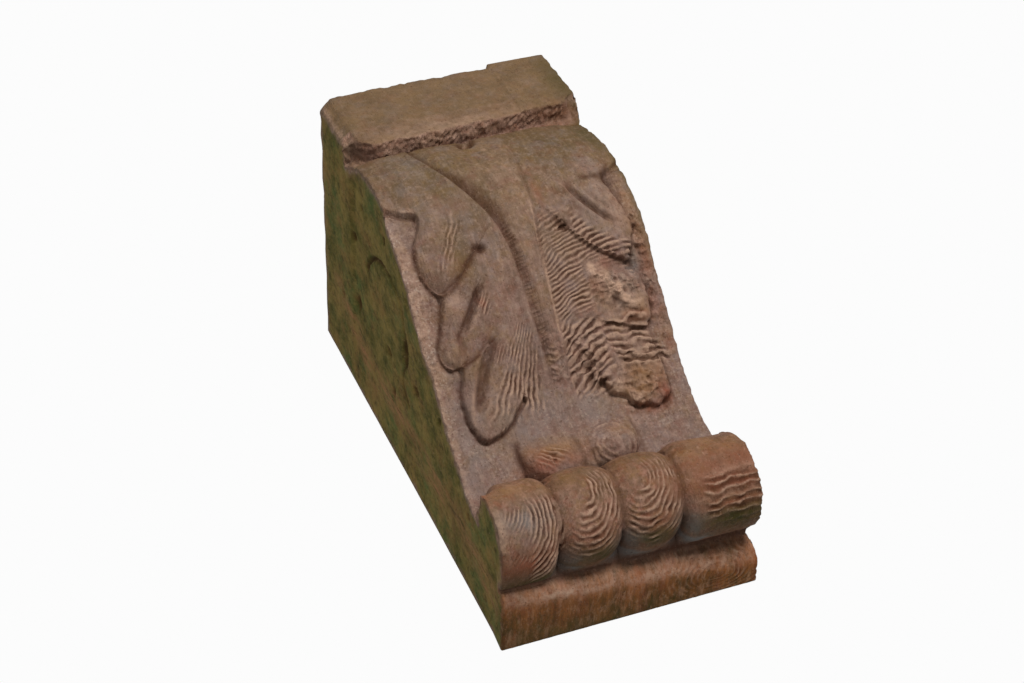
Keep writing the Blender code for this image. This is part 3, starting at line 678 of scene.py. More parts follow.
def rollMarks(x, angle):
    # growth rings of the carved wood: arcs round a point on each part of the roll
    area = rollAreas
    arc = roll["radius"][0] * np.radians(angle)
    leanedX = leaned(x, angle)
    deeper = 0.45 + 0.55 * band(*area["rightEndDeep"], angle)
    families = [("rightEnd", arc + 0.03 * x + 1.5 * chance(x, arc, 9.0, 51),
                 band(*area["rightEndAcross"], x) * band(*area["rightEndRound"], angle) * deeper)]
    for name, middle, centre, low, high, clear in roll["rings"]:
        below = arc - roll["radius"][0] * math.radians(centre)
        if name == "leftEnd":
            ring = np.hypot(x - middle, below / area["flattened"][0])
            strokes = band(*area["strokesAcross"], x) * band(*area["strokesRound"], angle)
            families.append(("strokes", 0.88 * x + 0.46 * arc, strokes))
            mask = band(*area["leftEndRings"], ring) * ramp(-58, -50, x) * fall(-36.5, -34.5, x)
            families.append((name, ring, mask * ramp(180, 198, angle)))
            continue
        ring = np.hypot(x - middle, below / area["flattened"][1])
        mask = band(low + 2.0, high - 1.0, 1.5, leanedX) * band(*area["ringsRound"], angle)
        mask = mask * ramp(clear, clear + 3.0, ring)
        turn = np.degrees(np.arctan2(below / area["flattened"][1], x - middle))
        onLeft = fall(middle - 3.0, middle + 1.0, leanedX) * ramp(-2.0, 5.0, below)
        feather = 0.8 * below - 0.9 * np.abs(leanedX - middle + 4.0)
        broken = 0.75 + 0.5 * chance(x, below, 5.0, 53)
        shown = mask * (0.2 + 0.8 * band(*area["ringsTurn"], turn)) * broken
        families.append((name, ring + 0.5 * chance(x, below, 6.0, 52), shown))
        families.append(("feather", feather, mask * onLeft * (0.45 if middle < 0 else 0.2)))
    return strongest(families, x.shape)


# rows of the closed loop round the casting, as (y, z) for every column

def notchShare(x):
    return ramp(roll["notchStartX"], -casting["width"] / 2, x)


def blockRows(x):
    b, arris = block, block["arris"]
    fallen = held((b["topLeftX"] - x) / b["topLeftRun"])
    top = casting["height"] - b["topLeftDrop"] * (1.0 - np.sqrt(1.0 - fallen**2))
    rightBoard = ramp(b["boardJointX"] - 0.8, b["boardJointX"] + 0.8, x)
    worn = b["wornTopArris"] + 1.4 * chance(x, 0 * x, 7.0, 2) + 0.8 * chance(x, 0 * x, 2.5, 3)
    topArris = worn + (b["sharpTopArris"] - worn) * rightBoard
    chamfer = b["cornerChamfer"] * held((b["cornerChamferX"] - x) / 7.0)
    face = -casting["projection"] + b["boardStep"] * (1.0 - rightBoard) + chamfer
    under = endBlend(b["underside"], x) + b["lowLeftRise"] * ramp(-56.0, -70.0, x)
    low = under + b["lowRightRise"] * held((x - 58.0) / 12.0) + 0.8 * chance(x, 0 * x, 6.0, 4)
    rows = [(0.0 * x, 0.0 * x + z) for z in np.linspace(casting["backArris"], 280.0, 24)]
    rows.append((0.0 * x, top - casting["backArris"]))
    rows += [(0.0 * x + y, top) for y in np.linspace(-casting["backArris"], -148.0, 16)]
    for turn in np.radians(np.linspace(0.0, 90.0, 9)):
        rows.append((face + topArris * (1.0 - math.sin(turn)), top - topArris * (1.0 - math.cos(turn))))
    for share in np.linspace(0.0, 1.0, 62)[1:-1]:
        rows.append((face, top - topArris + (low + arris - top + topArris) * share))
    for turn in np.radians((0.0, 30.0, 60.0, 90.0)):
        rows.append((face + arris * (1.0 - math.cos(turn)), low + arris * (1.0 - math.sin(turn))))
    behind = face + b["lowRightDepth"]
    for share in np.linspace(0.0, 1.0, 12)[1:]:
        rows.append((face + arris + (behind - face - arris) * share, low + (under - low) * share))
    bodyY, bodyZ, _, _ = frontCurve(front["from"])
    for share in (0.25, 0.5, 0.75):
        rows.append((behind + (bodyY - behind) * share, under + (bodyZ - under) * share))
    return np.moveaxis(np.array(rows), 0, 2)


def rollRadius(x, angle):
    radius = endBlend(roll["radius"], x) + 0.0 * angle
    below = ramp(235.0, 290.0, angle)
    valley = roll["valley"] * (1.0 + 0.5 * below)
    rim = 1.0 - math.sqrt(0.1)               # depth of the round profile below at its edge
    plainX, x = x, leaned(x, angle)
    for low, high in roll["beads"]:
        u = (x - (low + high) / 2) / ((high - low) / 2)
        hollow = (1.0 - np.sqrt(held(1.0 - 0.9 * u**2))) / rim
        swell = roll["swell"] * (1.0 - below) - roll["tuck"] * ramp(*roll["tuckRun"], angle)
        radius = np.where(np.abs(u) <= 1.0, radius + swell - (roll["swell"] + valley) * hollow, radius)
    for edge, outward in ((roll["beads"][0][0], -1.0), (roll["beads"][-1][1], 1.0)):
        run = (x - edge) * outward
        u = held(1.0 - run / roll["endValleyRun"])
        hollow = (1.0 - np.sqrt(1.0 - 0.9 * u**2)) / rim
        radius = np.where(run >= 0.0, radius - valley * hollow, radius)
    flat = roll["flat"] * ramp(40.0, 69.0, plainX)
    return radius - flat * ramp(115.0, 140.0, angle) * fall(165.0, 195.0, angle)


def halfWidth(y, z):
    plain = casting["width"] / 2 * (1.0 + casting["taper"] * (1.0 - 2.0 * z / casting["height"]))
    between = ramp(48.0, 70.0, z) * fall(*block["underside"], z)
    inset = casting["bodyInset"] * between * ramp(0.0, -70.0, y)
    return plain - inset + foot["flare"] * fall(6.0, 16.0, z)


def columns():
    arris = casting["sideArris"]
    flat = casting["width"] / 2 - arris
    ends = flat + arris * np.sin(np.radians((30.0, 60.0, 90.0)))
    between = np.linspace(-flat, flat, int(2 * flat / mesh["columnStep"]) + 1)
    return np.concatenate([-ends[::-1], between, ends])


# Each grid below is a part of the loop as columns by rows, with what the finish needs at each point.

def blockGrid(x):
    column = x[:, None]
    y, z = blockRows(x)
    gouged = (z < block["gougedBelow"]) & (y < block["frontY"])
    fromFace = y + casting["projection"]
    underMask = np.where(gouged, ramp(1.2, 3.0, fromFace) * fall(11.5, 14.0, fromFace), 0.0)
    underMask = underMask * (0.55 + 0.45 * chance(column, fromFace, 9.0, 72))
    phase = column + 0.9 * fromFace + 1.6 * chance(column, fromFace, 6.0, 71)
    onFace = np.where(z > block["faceFrom"], down["face"] - z, fromFace)
    place = np.where(y > block["frontY"], down["hidden"], onFace)
    # painted shade: darker in the left corner under the block and in the pit in its underside, and a little
    # in the gouges
    paintedShadeUnderBlock = 0.8 * spots(column + 0 * place, place, ((-62, 7, 11, 6, 1.0), (-4, 12, 6, 3, 0.8)))
    return {"y": y, "z": z, **strongest([("gouges", phase, underMask)], phase.shape),
            "cover": np.ones(phase.shape), "hollow": underMask * 0.1 + paintedShadeUnderBlock,
            "under": np.where(gouged, ramp(0.5, 2.5, fromFace), 0.0), "down": place}


def hollowStainAndShade(x, s, raised, settled):
    # stain and painted shade lie where the surface is below its surroundings, near by and further round
    near, wide = (softened(raised, int(reach / mesh["frontStep"])) for reach in (1.0, 4.5))
    hollow = (held((near - raised - 0.08) / 0.85)
              + 0.4 * held((wide - raised - 0.2) / 3.0))
    hollow *= 1.0 - spots(x + front["nudge"][0], s + front["nudge"][1], leaf["faintEdges"])
    hollow = hollow * (0.8 + 0.45 * chance(x, s, 3.6, 16) + 0.25 * chance(x, s, 11.0, 17))
    return held(np.maximum(hollow * (1.0 - 0.5 * ramp(200.0, 212.0, s)), settled))


def frontGrid(x):
    start, end = front["from"], front["to"]
    s = np.linspace(start, end, int((end - start) / mesh["frontStep"]))
    gridX, gridS = np.meshgrid(x, s, indexing="ij")
    y, z, outY, outZ = frontCurve(s)
    ends = ramp(0.0, front["easeIn"], s - start) * fall(end - front["easeOut"], end, s)
    carvedX, carvedS = gridX + front["nudge"][0], gridS + front["nudge"][1]
    raised, cover, settled = relief(carvedX, carvedS)
    cuts = frontMarks(carvedX, carvedS, cover)
    cuts["depth"] = cuts["depth"] * ends
    hollow = hollowStainAndShade(gridX, gridS, raised, settled)
    lower = roll["notchDrop"] * notchShare(x) + roll["z"][0] - endBlend(roll["z"], x)
    drop = lower[:, None] * ramp(end - front["toRoll"], end, s)
    return {"y": y + outY * raised * ends, "z": z + outZ * raised * ends - drop,
            "cover": cover, "hollow": hollow, "under": 0 * hollow, "down": gridS,
            "bare": alongLines(carvedX, carvedS, leaf["wornAndHighlightLines"]), **cuts}


def rollGrid(x):
    column = x[:, None]
    total = int((roll["endAngle"][0] - roll["startAngle"]) / mesh["rollStep"])
    share = np.linspace(0.0, 1.0, total)[1:]
    angle = roll["startAngle"] + (endBlend(roll["endAngle"], column) - roll["startAngle"]) * share
    plain = endBlend(roll["radius"], column)
    radius = rollRadius(column, angle)
    reach = plain + (radius - plain) * ramp(0.0, 0.12, share)
    drop = roll["notchDrop"] * notchShare(column) * fall(125.0, 175.0, angle)
    turn = np.radians(angle)
    return {"y": roll["y"] + reach * np.cos(turn),
            "z": endBlend(roll["z"], column) + reach * np.sin(turn) - drop,
            "cover": np.ones(angle.shape), **rollMarks(column + 0 * angle, angle),
            # darker down in the valleys between the beads: stain and painted shade
            "hollow": 0.7 * held((plain - radius - 1.5) / 5.0), "under": 0 * angle,
            "down": down["roll"] + roll["radius"][0] * np.radians(angle - roll["startAngle"])}


def footGrid(x):
    column = x[:, None]
    depth, top, width = (endBlend(foot[name], x) for name in ("depth", "grooveTop", "grooveWidth"))
    depth = -depth
    rows = [(depth - width * a, top) for a in (0.8, 0.5, 0.2)]
    for a in np.radians(np.linspace(0.0, 90.0, 18)):
        rows.append((depth + foot["nose"] * (1.0 - math.cos(a)), (top - 1.0) * (1.0 - math.sin(a))))
    inner = depth + foot["nose"]
    rows += [(inner + (-casting["backArris"] - inner) * a, 0.0 * x) for a in np.linspace(0.0, 1.0, 16)[1:]]
    y, z = np.moveaxis(np.array(rows), 0, 2)
    ringX, ringY = foot["growthMiddle"]
    ring = np.hypot(column - ringX, (y - ringY) * 1.6)
    fromNose = y - depth[:, None]
    shown = band(14, 80, 6, column) * ramp(2, 6, ring) + 0 * y
    return {"y": y, "z": z, "cover": np.ones(y.shape), **strongest([("fillet", ring, shown)], y.shape),
            # darker in the groove above the foot's nose: stain and painted shade
            "hollow": 1.0 - ramp(-2.0, 1.0, fromNose), "under": 0 * y,
            "down": down["foot"] + np.clip(fromNose, -7.0, None) * 1.3 + 0 * y}


def skinGrid(x):
    grids = [make(x) for make in (blockGrid, frontGrid, rollGrid, footGrid)]
    for grid in grids:
        grid.setdefault("bare", np.zeros(grid["down"].shape))
    skin = {key: np.concatenate([g[key] for g in grids], axis=1) for key in grids[0]}
    column = x[:, None] + 0 * skin["down"]
    for name, table in stainSpots.items():
        skin[name] = spots(column, skin["down"], table)
    # worn takes in the pale lines: rubbed wear and painted highlights
    skin["worn"] = np.maximum(skin["worn"], skin.pop("bare"))
    skin["rough"] = np.maximum(spots(column, skin["down"], roughSpots), 0.8 * skin["under"])
    return skin


# dents, pits and the cut arch on the side faces, as depth in mm at (y, z)

sides = {
    "arch": ((-93, 215), (-101, 210), (-108, 202), (-113, 188), (-113, 174), (-110, 163), (-102, 156),
             (-90, 153)),
    "archDepth": 2.6,
    "archWidth": 1.3,
    # (y, z, radius along y, radius along z, depth)
    "dents": (
        (-80, 152, 8.0, 3.2, 3.0), (-101.5, 235.5, 2.3, 1.9, 2.2), (-130, 186, 2.2, 1.8, 1.8),
        (-59, 231, 3.6, 2.8, 2.2), (-61, 179, 2.4, 3.2, 2.0), (-65, 136, 2.6, 3.8, 2.2),
        (-50, 254, 2.2, 1.8, 1.6), (-40, 170, 3.0, 2.0, 1.6), (-116, 147, 2.4, 1.8, 1.6),
        (-128, 223, 1.8, 1.8, 1.2), (-46, 53, 2.0, 2.0, 1.4), (-72, 100, 2.6, 2.0, 1.4),
    ),
    "dentScale": 1.4,
    "crack": ((-72, 152), (-63, 156), (-55, 155), (-47, 146)),
    "crackDepth": 1.6,
    "crackWidth": 1.1,
    "mirroredShift": (14.0, 9.0, 300.0),  # the right side differs: (lines up, dents out, turned over at)
    "rubbed": ((-48, 262), (-38, 230), (-29, 202), (-33, 166), (-30, 131), (-30, 60), (-24, 16)),
    "rubbedReach": 10.0,
    "waves": 0.5,
    "edgeWear": 1.5,
    "swell": (2.2, 68.0, 150.0),  # the left front arris stands out: (mm, from s, to s)
    "swellRun": 14.0,
}


def arrisSwell(place, inside):
    most, first, last = sides["swell"]
    return most * band(first, last, 9.0, place) * np.exp(-inside / sides["swellRun"])


def sideDepth(y, z, inside, mirrored):
    up, outward, turnedAt = sides["mirroredShift"]
    shift = up if mirrored else 0.0
    gap, share, _ = nearestOnLine(y, z - shift, smoothLine(sides["arch"]))
    depth = sides["archDepth"] * hump(gap / sides["archWidth"]) * (1.0 - 0.6 * share)
    for dentY, dentZ, *radii, dent in sides["dents"]:
        if mirrored:
            dentY, dentZ = dentY + outward, turnedAt - dentZ
        depth += sides["dentScale"] * dent * np.exp(-around(y, z, dentY, dentZ, *radii))
    crack, _, _ = nearestOnLine(y, z - shift, smoothLine(sides["crack"]))
    depth += sides["crackDepth"] * hump(crack / sides["crackWidth"])
    wave = chance(y * 1.6, z * 0.45, 9.0, 11 + mirrored)
    wave = wave + 0.5 * chance(y * 2.4, z * 0.5, 4.0, 13 + mirrored)
    return (depth + sides["waves"] * (0.6 + 0.4 * wave)) * ramp(0.0, 3.5, inside)


def sidePoints(loop):
    step = mesh["sideStep"]
    low, high = loop.min(axis=0), loop.max(axis=0)
    ys, zs = np.arange(low[0] + step / 2, high[0], step), np.arange(low[1] + step / 2, high[1], step)
    grid = np.array([(y, z) for y in ys for z in zs])
    grid += 0.25 * step * np.stack([chance(grid[:, 0], grid[:, 1], 0.9, k) for k in (21, 22)], axis=1)
    inside = insideOutline(grid[:, 0], grid[:, 1], loop[::3])
    keep = inside > step * 0.7
    return grid[keep], inside[keep]


def wornGrid(x, skin):
    # the outer columns draw in towards the middle of the casting, unevenly where they were rubbed
    y, z = skin["y"], skin["z"]
    arris, half = casting["sideArris"], casting["width"] / 2
    over = np.clip(np.abs(x) - (half - arris), 0.0, arris)
    inward = (arris - np.sqrt(arris**2 - over**2))[:, None]
    reachY, reachZ = y - casting["middle"][0], z - casting["middle"][1]
    length = np.hypot(reachY, reachZ)
    fromWall, fullAfter = casting["rubReach"]
    uneven = 0.5 + 0.5 * chance(z, y + 300 * np.sign(x)[:, None], 3.4, 31)
    wear = uneven * held((-y - fromWall) / fullAfter)
    rim = np.exp(-((half - np.abs(x)) / 1.6))[:, None] * wear * sides["edgeWear"]
    y = y - (inward + 0.7 * rim) * reachY / length
    z = z - (inward + 0.7 * rim) * reachZ / length
    onLeft = arrisSwell(skin["down"], (half + x)[:, None]) * (x[:, None] < 0)
    across = x[:, None] / half * (halfWidth(y, z) - rim * 0.6 + onLeft)
    return np.stack([across, y, z], axis=2)


def sideFace(loop, loopDown, sign):
    # points, triangles and finish of one side; a triangle counts the rim's points first
    inner, inside = sidePoints(loop)
    flat = [Vector(p) for p in np.vstack([loop, inner])]
    edges = [(j, (j + 1) % len(loop)) for j in range(len(loop))]
    _, _, triangles, origin, _, _ = delaunay_2d_cdt(flat, edges, [], 1, 1e-6)
    triangles = [[origin[v][0] for v in triangle] for triangle in triangles]
    nearest = np.argmin(((inner[:, None, :] - loop[None, ::2]) ** 2).sum(axis=2), axis=1)
    rimDown = loopDown[::2][nearest]
    y, z = inner.T
    sunk = sideDepth(y, z, inside, sign > 0)
    if sign < 0:
        sunk -= arrisSwell(rimDown, inside)
    # the front's stain wraps a little way round the arris, with a ragged edge
    ragged = 1.4 * chance(y, z, 2.6, 45) + 1.0 * chance(y, z, 7.0, 46)
    rub = chance(y * 0.9, z * 0.35, 7.0, 43) + 0.5 * chance(y, z, 3.0, 44)
    toBand, _, _ = nearestOnLine(y, z, smoothLine(sides["rubbed"]))
    rub = fall(0.5, 1.4, toBand / sides["rubbedReach"] + 0.35 * rub) * (0.75 + 0.5 * rub)
    edge = 1.0 - ramp(0.0, 7.0, inside + 3.0 * chance(y, z, 5.0, 41))
    # darker in the dents, the crack and the cut arch: stain and painted shade
    finish = {"side": ramp(0.2, 2.6, inside + ragged), "hollow": held((sunk - 0.6) / 1.2),
              "down": rimDown, "rubbed": held(rub), "worn": 0.25 * edge * (y < -30),
              "rough": np.full(len(inner), 0.25)}
    return np.stack([sign * (halfWidth(y, z) - sunk), y, z], axis=1), triangles, finish


def castingMesh():
    x = columns()
    skin = skinGrid(x)
    grid = wornGrid(x, skin)
    countX, countLoop = skin["y"].shape
    print("rows of the loop:", skin["y"].shape)
    points = [grid.reshape(-1, 3)]
    column = np.arange(countX - 1)[:, None] * countLoop
    corner = (column + np.arange(countLoop)).ravel()
    nextRow = (column + (np.arange(countLoop) + 1) % countLoop).ravel()
    faces = np.stack([corner, nextRow, nextRow + countLoop, corner + countLoop], axis=1).tolist()
    values = {key: [skin[key].ravel()] for key in skin if key not in "yz"}
    values["side"], values["rubbed"] = [np.zeros(len(points[0]))], [np.zeros(len(points[0]))]

    total = len(points[0])
    for end, sign in ((0, -1.0), (countX - 1, 1.0)):
        inner, triangles, finish = sideFace(grid[end][:, 1:], skin["down"][end], sign)
        numbers = [end * countLoop + j for j in range(countLoop)] + list(range(total, total + len(inner)))
        faces += [tuple(numbers[v] for v in triangle) for triangle in triangles]
        total += len(inner)
        points.append(inner)
        for key in values:
            values[key].append(finish.get(key, np.zeros(len(inner))))
        print("side face:", len(inner), "points")

    made = bpy.data.meshes.new("corbelBody")
    allPoints = np.vstack(points)
    allPoints[:, 2] -= casting["height"] / 2
    made.from_pydata((allPoints * mm).tolist(), [], faces)
    bm = bmesh.new()
    bm.from_mesh(made)
    bmesh.ops.triangulate(bm, faces=bm.faces[:])
    bmesh.ops.recalc_face_normals(bm, faces=bm.faces[:])
    bm.to_mesh(made)
    bm.free()
    for key, lists in values.items():
        value = np.concatenate(lists).astype(np.float32)
        made.attributes.new(key, "FLOAT", "POINT").data.foreach_set("value", value)
    return made


# nodes

def addNode(tree, kind, settings=None, inputs=(), output=0):
    # settings as {name: value} or the operation alone, inputs as {name: value} or the values in order
    node = tree.nodes.new(kind)
    if isinstance(settings, str):
        settings = {"operation": settings}
    for name, value in (settings or {}).items():
        setattr(node, name, value)
    for name, value in (inputs if isinstance(inputs, dict) else dict(enumerate(inputs))).items():
        if isinstance(value, bpy.types.NodeSocket):
            tree.links.new(value, node.inputs[name])
        else:
            node.inputs[name].default_value = value
    return node.outputs[output] if node.outputs else node


def workOut(tree, steps, known):
    # Each step is (name of its result, operation, values), and a name stands for what is known by then.
    # TIMES is a product held to 0 to 1, RANGE a smooth rise: (value, from, to, greatest).
    for name, operation, first, *others in steps:
        first, *others = [known[v] if isinstance(v, str) else v for v in (first, *others)]
        if operation == "RANGE":
            inputs = dict(zip(("Value", "From Min", "From Max", "To Max"), (first, *others)))
            first = addNode(tree, "ShaderNodeMapRange", {"interpolation_type": "SMOOTHSTEP"}, inputs)
        elif operation == "TIMES":
            for other in others:
                first = addNode(tree, "ShaderNodeMath", {"operation": "MULTIPLY", "use_clamp": True},
                                (first, other))
        else:
            first = addNode(tree, "ShaderNodeMath", operation, (first, *others))
        known[name] = first


markInputs = {
    "Mark depth": ("NodeSocketFloat", mm),  # for a mark 1 deep
    "Uneven spacing": ("NodeSocketFloat", 0.8),  # in ridges
    "Uneven depth": ("NodeSocketFloat", 0.7),
    "Unevenness size": ("NodeSocketFloat", 8.0 * mm),
    "Grain depth": ("NodeSocketFloat", 0.34 * mm),
    "Grain size": ("NodeSocketFloat", 2.2 * mm),  # about 1 mm in wood: coarser, as the mesh is no finer
    "Torn depth": ("NodeSocketFloat", 6.0 * mm),  # where the wood of the pattern had torn out
    "Torn size": ("NodeSocketFloat", 3.4 * mm),
    "Seed": ("NodeSocketFloat", 3.0),
}

# random hills: (name, size, added to the seed, detail)
markHills = (("wander", "Unevenness size", 0.0, 2.0), ("uneven", "Unevenness size", 5.0, 3.0),
             ("grain", "Grain size", 9.0, 3.0), ("torn", "Torn size", 14.0, 4.0))
# from the phase of the ridges to how far the skin sinks
markSteps = (
    ("wander", "SUBTRACT", "wander", 0.5),
    ("phase", "MULTIPLY", "Uneven spacing", 2.0),
    ("phase", "MULTIPLY_ADD", "wander", "phase", "turns"),
    ("phase", "MULTIPLY", "phase", math.pi),
    ("trough", "SINE", "phase"),
    ("trough", "ABSOLUTE", "trough"),
    ("trough", "POWER", "trough", "narrow"),
    ("uneven", "SUBTRACT", "uneven", 0.5),
    ("strength", "MULTIPLY", "Uneven depth", 4.0),
    ("strength", "MULTIPLY_ADD", "uneven", "strength", 1.0),
    ("strength", "MAXIMUM", "strength", 0.15),
    ("trough", "MULTIPLY", "trough", "strength"),
    ("trough", "MULTIPLY", "trough", "depth"),
    ("crest", "MULTIPLY", "strength", "depth"),
    ("crest", "SUBTRACT", "crest", "trough"),
    ("grain", "MULTIPLY", "grain", "Grain depth"),
    ("sink", "MULTIPLY", "trough", "Mark depth"),
    ("sink", "ADD", "sink", "grain"),
    ("sink", "MULTIPLY", "sink", -1.0),
    ("torn", "SUBTRACT", "torn", 0.5),
    ("torn", "MULTIPLY", "torn", "rough"),
    ("torn", "MULTIPLY", "torn", "Torn depth"),
)


def toolMarkTree(material):
    # ridges left by a gouge: rounded troughs with sharp crests, cut into the surface along its normal
    tree = bpy.data.node_groups.new("toolMarks", "GeometryNodeTree")
    tree.interface.new_socket("Geometry", in_out="INPUT", socket_type="NodeSocketGeometry")
    for name, (kind, value) in markInputs.items():
        tree.interface.new_socket(name, in_out="INPUT", socket_type=kind).default_value = value
    tree.interface.new_socket("Geometry", in_out="OUTPUT", socket_type="NodeSocketGeometry")
    add = partial(addNode, tree)
    given = add("NodeGroupInput").node.outputs
    known = {name: given[name] for name in markInputs}
    for name in ("turns", "depth", "narrow", "rough"):
        known[name] = add("GeometryNodeInputNamedAttribute", {"data_type": "FLOAT"}, {"Name": name})
    position, normal = add("GeometryNodeInputPosition"), add("GeometryNodeInputNormal")
    for name, size, offset, detail in markHills:
        workOut(tree, (("scale", "DIVIDE", 1.0, size), ("seed", "ADD", "Seed", offset)), known)
        known[name] = add("ShaderNodeTexNoise", {"noise_dimensions": "4D"}, {
            "Vector": position, "W": known["seed"], "Scale": known["scale"], "Detail": detail})
    workOut(tree, markSteps, known)
    moves = [add("ShaderNodeVectorMath", "SCALE", {0: normal, "Scale": known[name]})
             for name in ("sink", "torn")]
    stored = given["Geometry"]
    for name in ("trough", "crest"):
        stored = add("GeometryNodeStoreNamedAttribute", {"data_type": "FLOAT", "domain": "POINT"},
                     {"Geometry": stored, "Name": name, "Value": known[name]})
    offset = add("ShaderNodeVectorMath", "ADD", moves)
    moved = add("GeometryNodeSetPosition", None, {"Geometry": stored, "Offset": offset})
    real = add("GeometryNodeRealizeInstances", None, {"Geometry": moved})
    finished = add("GeometryNodeSetMaterial", None, {"Geometry": real, "Material": material})
    add("NodeGroupOutput", None, {"Geometry": finished})
    return tree


def linear(hexColour):
    parts = [int(hexColour[i:i + 2], 16) / 255 for i in (1, 3, 5)]
    return [c / 12.92 if c <= 0.04045 else ((c + 0.055) / 1.055) ** 2.4 for c in parts] + [1.0]


# finish

stain = {
    "crownTan": ("#6A543B", "#836749"),  # wiped stain on the block and the top of the leaf
    "leafMauveAndSheen": ("#795D4E", "#947668"),  # lower down the leaf: mauve stain with a painted reflection of the pale sky
    "fieldMauveAndSheen": ("#7B6055", "#95796C"),  # thinner stain on the cut-back field, with the same painted sky reflection
    "olive": "#454019",
    "ochre": "#8F673A",
    "rust": "#8A4A34",
    "worn": "#B8967F",
    "dust": "#7E7A76",
    "underside": ("#7F5C4C", "#AC8875"),
    "roll": ("#70503C", "#9C7660"),
    "foot": ("#553A16", "#A36736"),
    "side": ("#5A5728", "#978248"),
    "sideRubbed": "#AE7E56",
    "fissures": "#2E2A12",
    "groove": "#432313",  # stain in the cuts, and the colour of painted shade in cuts, creases, pits and under the buds
    "fieldSpecks": "#C9B3A2",
    "brushed": "#7D6F68",  # multiplies the colour along brush strokes
    # uneven hand staining: (colour, size of the patches in mm, greatest share)
    "patches": (("#8F6E3C", 15.0, 0.38), ("#7F4A38", 9.0, 0.34), ("#8B7E7B", 12.0, 0.36),
                ("#4C3823", 4.8, 0.26), ("#BDA28E", 3.0, 0.26)),
    "tornPatches": (("#CBA592", 5.0, 0.75), ("#94502E", 6.0, 0.4), ("#402C20", 4.0, 0.4)),
    "rollPatches": (("#8F6A38", 8.0, 0.45), ("#84452E", 6.0, 0.5), ("#C09480", 3.0, 0.4),
                    ("#4A3A1E", 7.0, 0.35)),
    "footPatches": (("#B9703F", 12.0, 0.55), ("#3C3A10", 11.0, 0.7), ("#D0A080", 2.4, 0.4),
                    ("#7E3F26", 6.0, 0.45)),
    "sidePatches": (("#596E3C", 26.0, 0.75), ("#9A7044", 18.0, 0.48), ("#2A2C12", 5.0, 0.5),
                    ("#A08C54", 3.6, 0.4)),
    "patchEdge": (0.47, 0.66),
    # spots on top, with the greatest share of each
    "spots": (("olive", 0.92), ("ochre", 0.7), ("rust", 0.7), ("dust", 0.75)),
    "satin": 0.5,  # roughness where wiped
    "dull": 0.92,  # in the cuts, on the sides and under dust
    "gloss": 0.2,
    "bump": (0.75, 1.0),  # (share, depth in mm)
}

# (size in mm, detail, roughness, seed, (from, to, greatest share), drawn out along x, y and z)
patterns = {
    "mottle": (16.0, 5.0, 0.65, 0.0, (0.36, 0.64, 1.0)),  # one wipe of the rag
    "grain": (3.5, 5.0, 0.65, 0.0),  # of wood, finer than 1 mm: drawn coarser, so that it shows
    "brushed": (1.6, 5.0, 0.7, 0.0, (0.36, 0.64, 1.0), (1.0, 0.16, 0.13)),
    "specks": (1.6, 3.0, 0.5, 3.0, (0.51, 0.65, 0.8)),  # pale ground showing through
    "groups": (22.0, 3.0, 0.55, 0.0, (0.36, 0.56, 1.0)),  # where those specks lie
    "endGrain": (3.0, 5.0, 0.75, 0.0, (0.32, 0.68, 1.0), (1.0, 0.12, 0.16)),
    "runs": (4.5, 4.0, 0.55, 0.0, (0.34, 0.66, 1.0), (1.0, 1.0, 0.14)),  # stain that ran down the sides
    "fibres": (2.6, 4.0, 0.65, 5.0, (0.36, 0.6, 1.0), (1.0, 1.0, 0.12)),
    "fissures": (3.0, 4.0, 0.7, 9.0, (0.54, 0.64, 0.75), (1.0, 1.0, 0.1)),
    "pinholes": (1.3, 2.0, 0.55, 0.0, (0.59, 0.71, 0.55)),  # foam bubbles are finer: drawn coarser
    "flecks": (1.1, 2.0, 0.5, 7.0, (0.62, 0.72, 0.5)),  # pale ground under thin stain
    "foamSkin": (0.9, 3.0, 0.55, 0.0),  # finer in life, and drawn coarser in the same way
}
